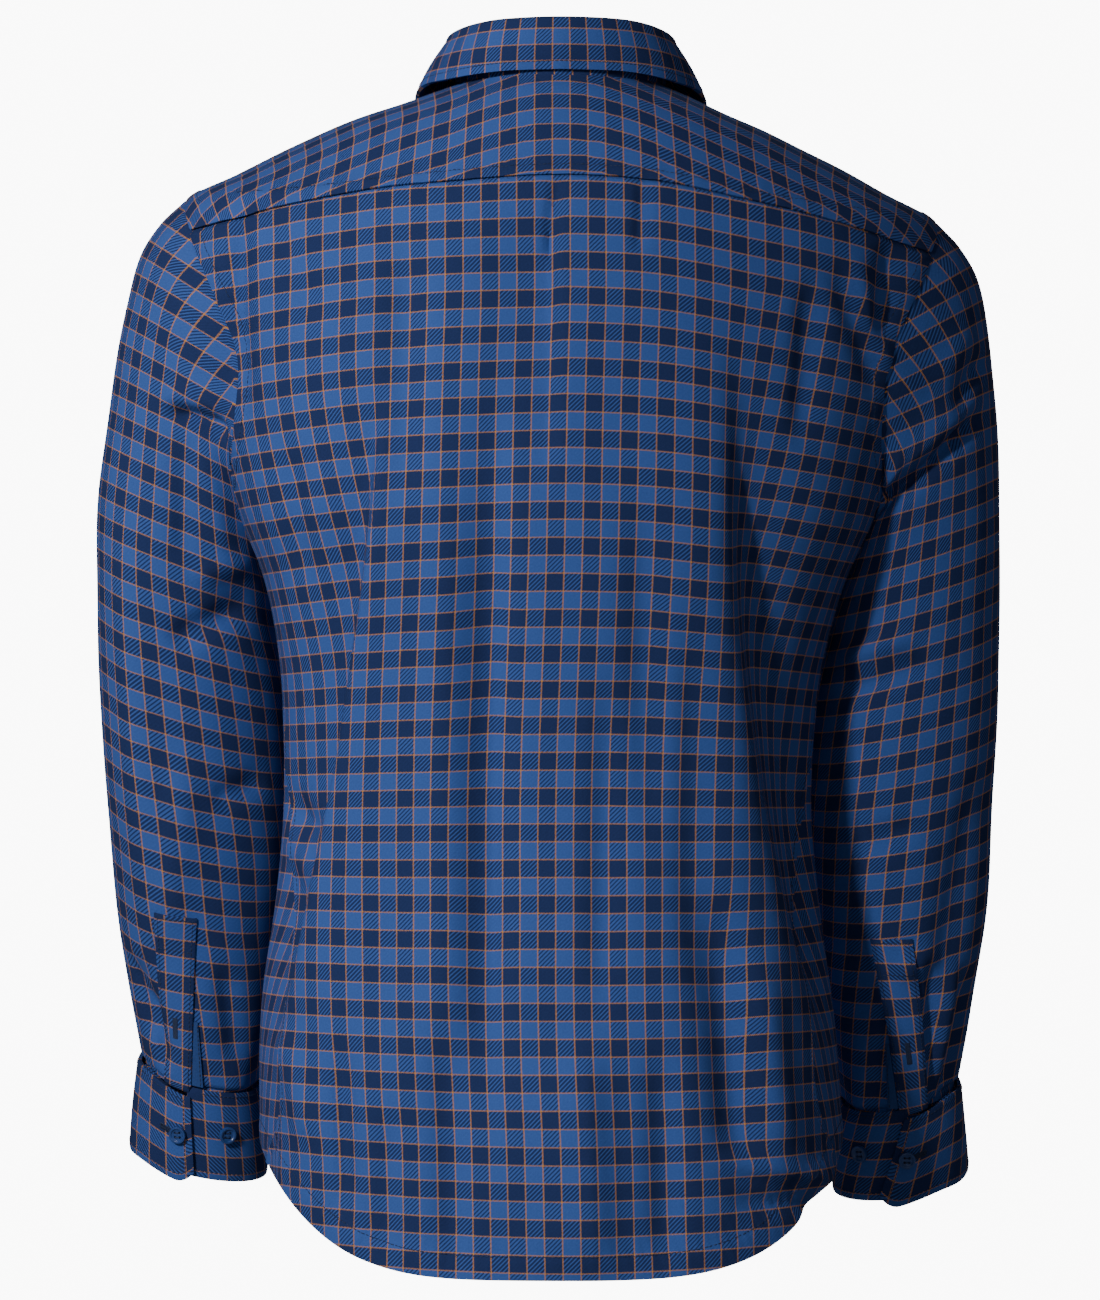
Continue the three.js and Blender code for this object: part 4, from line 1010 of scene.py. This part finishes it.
def sleeve_threads(side):
    """Rows lie square to the sleeve's own line, which leans outward at the cap, so they drop towards the body."""
    edge_z = [72, 100, 150, 220, 300, 420, 520, 640]
    edge_x = [237, 261, 275, 283, 288, 285, 278, 262]
    lean = [34, 32, 28, 23, 18, 13, 10, 7]

    def threads(u, down):
        angle = 360 * u - 180
        points = sleeve_form(side, angle, down)
        x, z = side * points[..., 0], points[..., 2]
        level = z + 0
        for _ in range(12):
            slope = np.tan(np.radians(np.interp(-level, edge_z, lean)))
            level = 0.5 * level + 0.5 * (z + (np.interp(-level, edge_z, edge_x) - x) * slope)
        round_size = np.interp(down, [0, 235, 355, 470, 570], [66, 61, 57, 50, 41])
        smile = np.interp(down, [120, 300, 450, 570], [0, 8, 13, 14]) * np.sin(np.radians(angle))
        return np.stack([-side * np.radians(angle) * round_size / CELL + 100.4,
                         (level + smile) / CELL * 1.02 + 100.15], -1)
    return threads


sleeve_rows = np.array([-6, -4.5, -3, -1.5, 0, 1.5, 3] + list(np.linspace(5.5, 560, 200))
                       + [562, 564, 566, 567.5, 569, 570, 571, 572, 573.5, 575, 576.5, 578])
for name, side in SIDE_OF.items():
    sleeve = cut_cloth(f"sleeve_{name}_cloth", sleeve_cloth(side), sleeve_threads(side), 180, sleeve_rows, side,
                       wrap=True)
    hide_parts(f"sleeve_{name}")

# The sleeve plackets: on the back of each sleeve above the cuff, a folded strip of flannel with a pointed or
# square top, sewn round its edge. Beside it the opening shows its narrow bound edge of plain dark cotton.
PLACKET_WIDE = 24
PLACKET_LONG = 111
PLACKET_HALF = math.degrees(PLACKET_WIDE / 2 / 50)
BINDING_LONG = 42


def plain_binding():
    """Plain-woven dark blue cotton tape: smooth and matt, with a weave too fine to see but as a faint grain."""
    return grained("plain_binding", 900.0, "#22386a", "#30508c", {"Roughness": 0.85, "Specular IOR Level": 0.25},
                   0.2, 0.0002)


binding_tape = plain_binding()


def placket_middle(name, down):
    """The placket's middle line turns a little round the sleeve towards the cuff."""
    top, end = WRIST[name][:2]
    return top + (end - top) * ((down - SLEEVE_LONG) / PLACKET_LONG + 1)


def placket_cloth(name, side):
    def surface(u, v):
        down = SLEEVE_LONG - PLACKET_LONG + (PLACKET_LONG + LAP_DROP + 1) * v
        edge = 1 - ease(np.minimum(np.minimum(u, 1 - u) * PLACKET_WIDE, v * PLACKET_LONG), 0, 1.5)
        angle = placket_middle(name, down) + PLACKET_HALF * (2 * u - 1)
        end = SLEEVE_LONG + lap_drop(side, angle)
        tucked = 1.5 * ease(down, end, end + 3)
        return sleeve_lifted(side, angle, down, 0.6 + CLOTH - 0.4 * edge - tucked)
    return surface


def binding_cloth(name, side):
    def surface(u, v):
        down = SLEEVE_LONG - BINDING_LONG + (BINDING_LONG - 1) * v
        wide = 4 + 7 * v
        angle = placket_middle(name, down) + PLACKET_HALF + 0.8 + (wide - 0.8) * u
        return sleeve_lifted(side, angle, down, 1.3)
    return surface


def placket_threads(u, v):
    return np.stack([u * PLACKET_WIDE / CELL + 100.45, -v * PLACKET_LONG / CELL + 100.3], -1)


off_edge = 2.2 / PLACKET_WIDE
off_top = 2.2 / PLACKET_LONG
box_row = 22 / PLACKET_LONG  # the row that closes the box of stitches at the placket's top
slit = 70 / PLACKET_LONG
hole = 6.5 / PLACKET_LONG
for name, side in SIDE_OF.items():
    surface = placket_cloth(name, side)
    placket = cut_cloth(f"placket_{name}_cloth", surface, placket_threads, 20, 70, side)
    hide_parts(f"placket_{name}")
    sew(f"placket_{name}_stitches", surface,
        [[(off_edge, 0.95), (off_edge, off_top), (1 - off_edge, off_top), (1 - off_edge, 0.95)],
         [(off_edge, box_row), (1 - off_edge, box_row)]], side)
    # The buttonhole, sewn round with close stitches.
    sew(f"placket_{name}_buttonhole", surface, [[(0.47, slit - hole), (0.47, slit + hole)],
                                                [(0.53, slit - hole), (0.53, slit + hole)]], side, 0.6, True)
    surface = binding_cloth(name, side)
    binding = cut_cloth(f"binding_{name}_cloth", surface, None, 6, 24, side, 1.0, material=binding_tape)
    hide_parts(f"binding_{name}")
    sew(f"binding_{name}_stitches", surface, [[(0.8, 0.03), (0.8, 0.97)]], side)

# The cuffs: two layers of flannel with interlining, closed round the wrist and lapping over themselves at the back.
CUFF_EDGE = (270, -677, 183, -693, -7, 96, 0, 38, 38)
CUFF_ROUND = 285  # round the cuff with its lap
CUFF_TALL = 57


def cuff_cloth(name, side):
    _, _, free_top, free_end = WRIST[name]

    def surface(u, v):
        free = free_top + (free_end - free_top) * v
        turned = (360 + CUFF_OVERLAP) * u - CUFF_OVERLAP
        angle = free + turned
        top = ring(np.array(SLEEVE[-1][1:])[:, None, None] + 0 * u, side, angle, WRIST_TILT)
        low = ring(np.array(CUFF_EDGE)[:, None, None] + 0 * u, side, angle, WRIST_TILT)
        lap = 360 - CUFF_OVERLAP
        spread = 3.0 * ease(turned, lap - 40, lap)
        outward = np.stack([side * np.cos(np.radians(angle)), -np.sin(np.radians(angle)), 0 * angle], -1)
        corner = 9 * np.clip((u - 0.96) / 0.04, 0, 1) ** 2
        # Under the lap the top edge stays hidden below the end of the sleeve.
        hidden = (LAP_DROP + 1.5) * ease(turned, -CUFF_OVERLAP, -2) * (1 - ease(turned, -5, -1)) * (turned < 0)
        top = top + TO_HAND * (0.8 + LAP_DROP * ease(turned, lap, 360) + hidden)[..., None]
        low = low + TO_HAND * (6.5 * ease(turned, lap, 360) - corner)[..., None]
        edge = 1 - ease(np.minimum(v, 1 - v) * CUFF_TALL, 0, 2)
        out = spread + LINED - CLOTH - 0.5 * edge + 0.7 * np.sin(math.pi * v)
        return settle(top + (low - top) * v[..., None] + outward * out[..., None], 1)
    return surface


def cuff_threads(u, v):
    return np.stack([-u * CUFF_ROUND / CELL + 140.3, -v * CUFF_TALL / CELL + 100.75], -1)


for name, side in SIDE_OF.items():
    surface = cuff_cloth(name, side)
    cuff = cut_cloth(f"cuff_{name}_cloth", surface, cuff_threads, 180, 26, side, LINED)
    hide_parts(f"cuff_{name}")
    sew(f"cuff_{name}_stitches", surface, [[(0.16, 0.05), (0.55, 0.05), (0.985, 0.05), (0.985, 0.92),
                                            (0.55, 0.92), (0.01, 0.92)]], side)
    hole = 6.5 / CUFF_ROUND
    sew(f"cuff_{name}_buttonhole", surface, [[(0.957 - hole, 0.45), (0.957 + hole, 0.45)],
                                             [(0.957 - hole, 0.48), (0.957 + hole, 0.48)]], side, 0.6, True)

# The buttons: four-hole discs of navy polyester resin, turned with a raised rim and sewn on with navy thread.
BUTTON_WIDE = 11.0
BUTTON_THICK = 2.6
HOLES_OFF = 1.5  # from the button's middle, both ways


def polished_resin():
    """Cast polyester resin, tumbled to a soft polish: a clear highlight over a deep, slightly uneven navy."""
    return grained("polished_resin", 260.0, "#1d3566", "#2f4d8a", {"Roughness": 0.32, "IOR": 1.55})


resin = polished_resin()


def cylinder(vertices, radius, depth, middle, turn=(0, 0, 0)):
    """A cylinder by its sizes in millimetres, left as the one object that is selected."""
    bpy.ops.object.select_all(action="DESELECT")
    bpy.ops.mesh.primitive_cylinder_add(vertices=vertices, radius=radius / 1000, depth=depth / 1000,
                                        location=[part / 1000 for part in middle], rotation=turn)
    return bpy.context.object


def turned_button():
    """One button at the origin, its back on the XY plane: a disc, dished inside its rim and drilled."""
    disc = cylinder(40, BUTTON_WIDE / 2, BUTTON_THICK, (0, 0, BUTTON_THICK / 2))
    bpy.ops.object.transform_apply(location=True, rotation=False, scale=False)
    bpy.ops.object.mode_set(mode="EDIT")
    bpy.ops.mesh.select_all(action="DESELECT")
    bpy.ops.object.mode_set(mode="OBJECT")
    for face in disc.data.polygons:
        face.select = face.normal.z > 0.9
    bpy.ops.object.mode_set(mode="EDIT")
    bpy.ops.mesh.inset(thickness=1.3 / 1000)
    bpy.ops.mesh.inset(thickness=0.5 / 1000)
    bpy.ops.transform.translate(value=(0, 0, -0.8 / 1000))
    bpy.ops.object.mode_set(mode="OBJECT")
    for x, y in ((1, 1), (-1, 1), (-1, -1), (1, -1)):
        hole = cylinder(14, 0.85, 8, (x * HOLES_OFF, y * HOLES_OFF, 0))
        cut = disc.modifiers.new("hole", "BOOLEAN")
        cut.operation = "DIFFERENCE"
        cut.object = hole
        pick(disc)
        bpy.ops.object.modifier_apply(modifier=cut.name)
        bpy.data.objects.remove(hole)
    soften = disc.modifiers.new("rim", "BEVEL")
    soften.width = 0.22 / 1000
    soften.segments = 2
    soften.limit_method = "ANGLE"
    soften.angle_limit = math.radians(35)
    bpy.ops.object.modifier_apply(modifier=soften.name)
    bpy.ops.object.shade_smooth_by_angle(angle=math.radians(40))
    return disc


def button_thread():
    """Two short bars of thread across the holes, each a small flattened cylinder."""
    bars = [cylinder(10, 0.38, 3.2, (0, y, 1.85), (0, math.pi / 2, 0)) for y in (-HOLES_OFF, HOLES_OFF)]
    pick(*bars)
    bpy.ops.object.join()
    bpy.ops.object.transform_apply(location=True, rotation=True, scale=True)
    return bpy.context.object


def sew_on(name, surface, u, v, away, patterns):
    """Sets copies of the button and its thread on a cloth's surface, square to it."""
    du, dv = np.array([[u]]), np.array([[v]])
    point = surface(du, dv)[0, 0]
    across = (surface(du + 0.004, dv) - surface(du - 0.004, dv))[0, 0]
    down = (surface(du, dv + 0.004) - surface(du, dv - 0.004))[0, 0]
    outward = Vector(np.cross(across, down)).normalized()
    if outward.dot(Vector(away)) < 0:
        outward = -outward
    turned = outward.to_track_quat("Z", "Y").to_matrix().to_4x4()
    place = Matrix.Translation((Vector(point) + outward * 0.4) / 1000) @ turned
    for kind, pattern, slot in patterns:
        mesh = pattern.data.copy()
        mesh.transform(place)
        copy = put(f"{name}_{kind}", mesh)
        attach(copy, "root")
        if kind == "disc":
            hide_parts(name)


disc, bars = turned_button(), button_thread()
disc.data.materials.append(resin)
bars.data.materials.append(thread)
patterns = [("disc", disc, "button"), ("thread", bars, "flannel")]
FRONT_BUTTONS = 7
FIRST_BUTTON = -104
BUTTON_PITCH = 87
for number in range(FRONT_BUTTONS):
    share = (FIRST_BUTTON - number * BUTTON_PITCH - BAND_BOTTOM) / (BAND_TOP - BAND_BOTTOM)
    sew_on(f"button_front_{number + 1}", band_cloth, 0.5, share, (0, 1, 0), patterns)
sew_on("button_collar", lambda u, v: stand_outer(-180 + 20 * (u - 0.5), v), 0.5, 0.5, (0, 1, 0), patterns)
whole = 360 + CUFF_OVERLAP
for name, side in SIDE_OF.items():
    surface = cuff_cloth(name, side)
    sew_on(f"button_cuff_{name}", surface, (whole - 11) / whole, 0.47, (0, -1, 0), patterns)
    sew_on(f"button_spare_{name}", surface, (CUFF_OVERLAP + 31) / whole, 0.47, (0, -1, 0), patterns)
bpy.data.objects.remove(disc)
bpy.data.objects.remove(bars)

# The studio: a pale floor and wall in one, a soft light from the left with a black card that shades the right sleeve
# from it, a weak one beside the camera, and one for the front. The camera has a long lens, 5 m behind the back.
PHOTO_HIGH = 0.8242  # metres of the shirt's plane that the photograph's height takes in
CAMERA_FAR = 5.0
camera = put("camera", bpy.data.cameras.new("camera"))
camera.location = (-0.007, -CAMERA_FAR, -0.3506)
camera.rotation_euler = (math.pi / 2, 0, 0)
camera.data.sensor_fit = "VERTICAL"
camera.data.sensor_height = 36
camera.data.lens = 36 * CAMERA_FAR / PHOTO_HIGH
bpy.context.scene.camera = camera

# The floor and the wall are one round sheet of evenly lit white paper, 8 m from the shirt, that runs up in a curve.
# The lamps alone light the shirt: the paper is seen by the camera, but throws no light back on the cloth.
FLOOR_Z, WALL_FAR, WALL_BEND, WALL_TOP = -1.25, 8.0, 1.5, 9.0
AROUND = 64
profile = [(0.0001, FLOOR_Z), (WALL_FAR - WALL_BEND, FLOOR_Z)]
profile += [(WALL_FAR - WALL_BEND + WALL_BEND * math.sin(a), FLOOR_Z + WALL_BEND * (1 - math.cos(a)))
            for a in np.linspace(0.1, math.pi / 2, 12)]
profile += [(WALL_FAR, WALL_TOP)]
corners = [(far * math.cos(math.tau * k / AROUND), far * math.sin(math.tau * k / AROUND), z)
           for far, z in profile for k in range(AROUND)]
faces = [(i * AROUND + k, i * AROUND + (k + 1) % AROUND, (i + 1) * AROUND + (k + 1) % AROUND, (i + 1) * AROUND + k)
         for i in range(len(profile) - 1) for k in range(AROUND)]
sweep = bpy.data.meshes.new("studio_sweep")
sweep.from_pydata(corners, [], faces)
sweep.shade_smooth()
paper, _, _ = new_material("lit_white_paper", {
    "Base Color": linear("#000000"), "Specular IOR Level": 0, "Emission Color": linear("#f9f9f9"),
    "Emission Strength": 10.5})
sweep.materials.append(paper)
backdrop = put("studio_sweep", sweep)
backdrop.visible_diffuse = False
backdrop.visible_glossy = False

# The card stands half way from the light to the shirt, so its shadow has a soft edge. Its side is cut aslant, so the
# shade starts further right towards the hem. Like the paper, it works on the light alone and isn't in the picture.
KEY_PLACE = (-1.55, -2.48, 0.72)
SHADE_AT_TOP, SHADE_AT_BOTTOM = -0.08, 0.54  # metres right of the middle, for the card's top and bottom corners
CARD_TOP, CARD_BOTTOM, CARD_RIGHT = 1.1, -0.6, -0.31
card_y = KEY_PLACE[1] / 2
left_top, left_bottom = ((reach + KEY_PLACE[0]) / 2 for reach in (SHADE_AT_TOP, SHADE_AT_BOTTOM))
shade = bpy.data.meshes.new("shade_card")
shade.from_pydata([(left_bottom, card_y, CARD_BOTTOM), (left_top, card_y, CARD_TOP),
                   (CARD_RIGHT, card_y, CARD_TOP), (CARD_RIGHT, card_y, CARD_BOTTOM)], [], [(0, 1, 2, 3)])
felt, _, _ = new_material("black_felt", {"Base Color": linear("#101010"), "Roughness": 1.0})
shade.materials.append(felt)
card = put("shade_card", shade)
card.visible_camera = False

# Each light: name, place, size and power in watts; all point at the middle of the shirt. The front's own lamp
# stands straight behind the shirt as the camera sees it, so it's hidden there and lights the front alone.
SHIRT_MIDDLE = Vector((0, 0, -0.35))
for name, place, size, power in (("key", KEY_PLACE, 0.4, 88), ("fill", (0.4, -4.2, -0.3), 2.0, 11),
                                 ("front", (-0.12, 3.4, -0.1), 0.3, 70)):
    lamp = bpy.data.lights.new(name, "AREA")
    lamp.size = size
    lamp.energy = power
    light = put(name, lamp)
    light.location = place
    light.rotation_euler = (SHIRT_MIDDLE - Vector(place)).to_track_quat("-Z", "Y").to_euler()
world = bpy.data.worlds.new("studio_air")
world.use_nodes = True
world.node_tree.nodes["Background"].inputs["Color"].default_value = (1, 1, 1, 1)
world.node_tree.nodes["Background"].inputs["Strength"].default_value = 0.12
bpy.context.scene.world = world
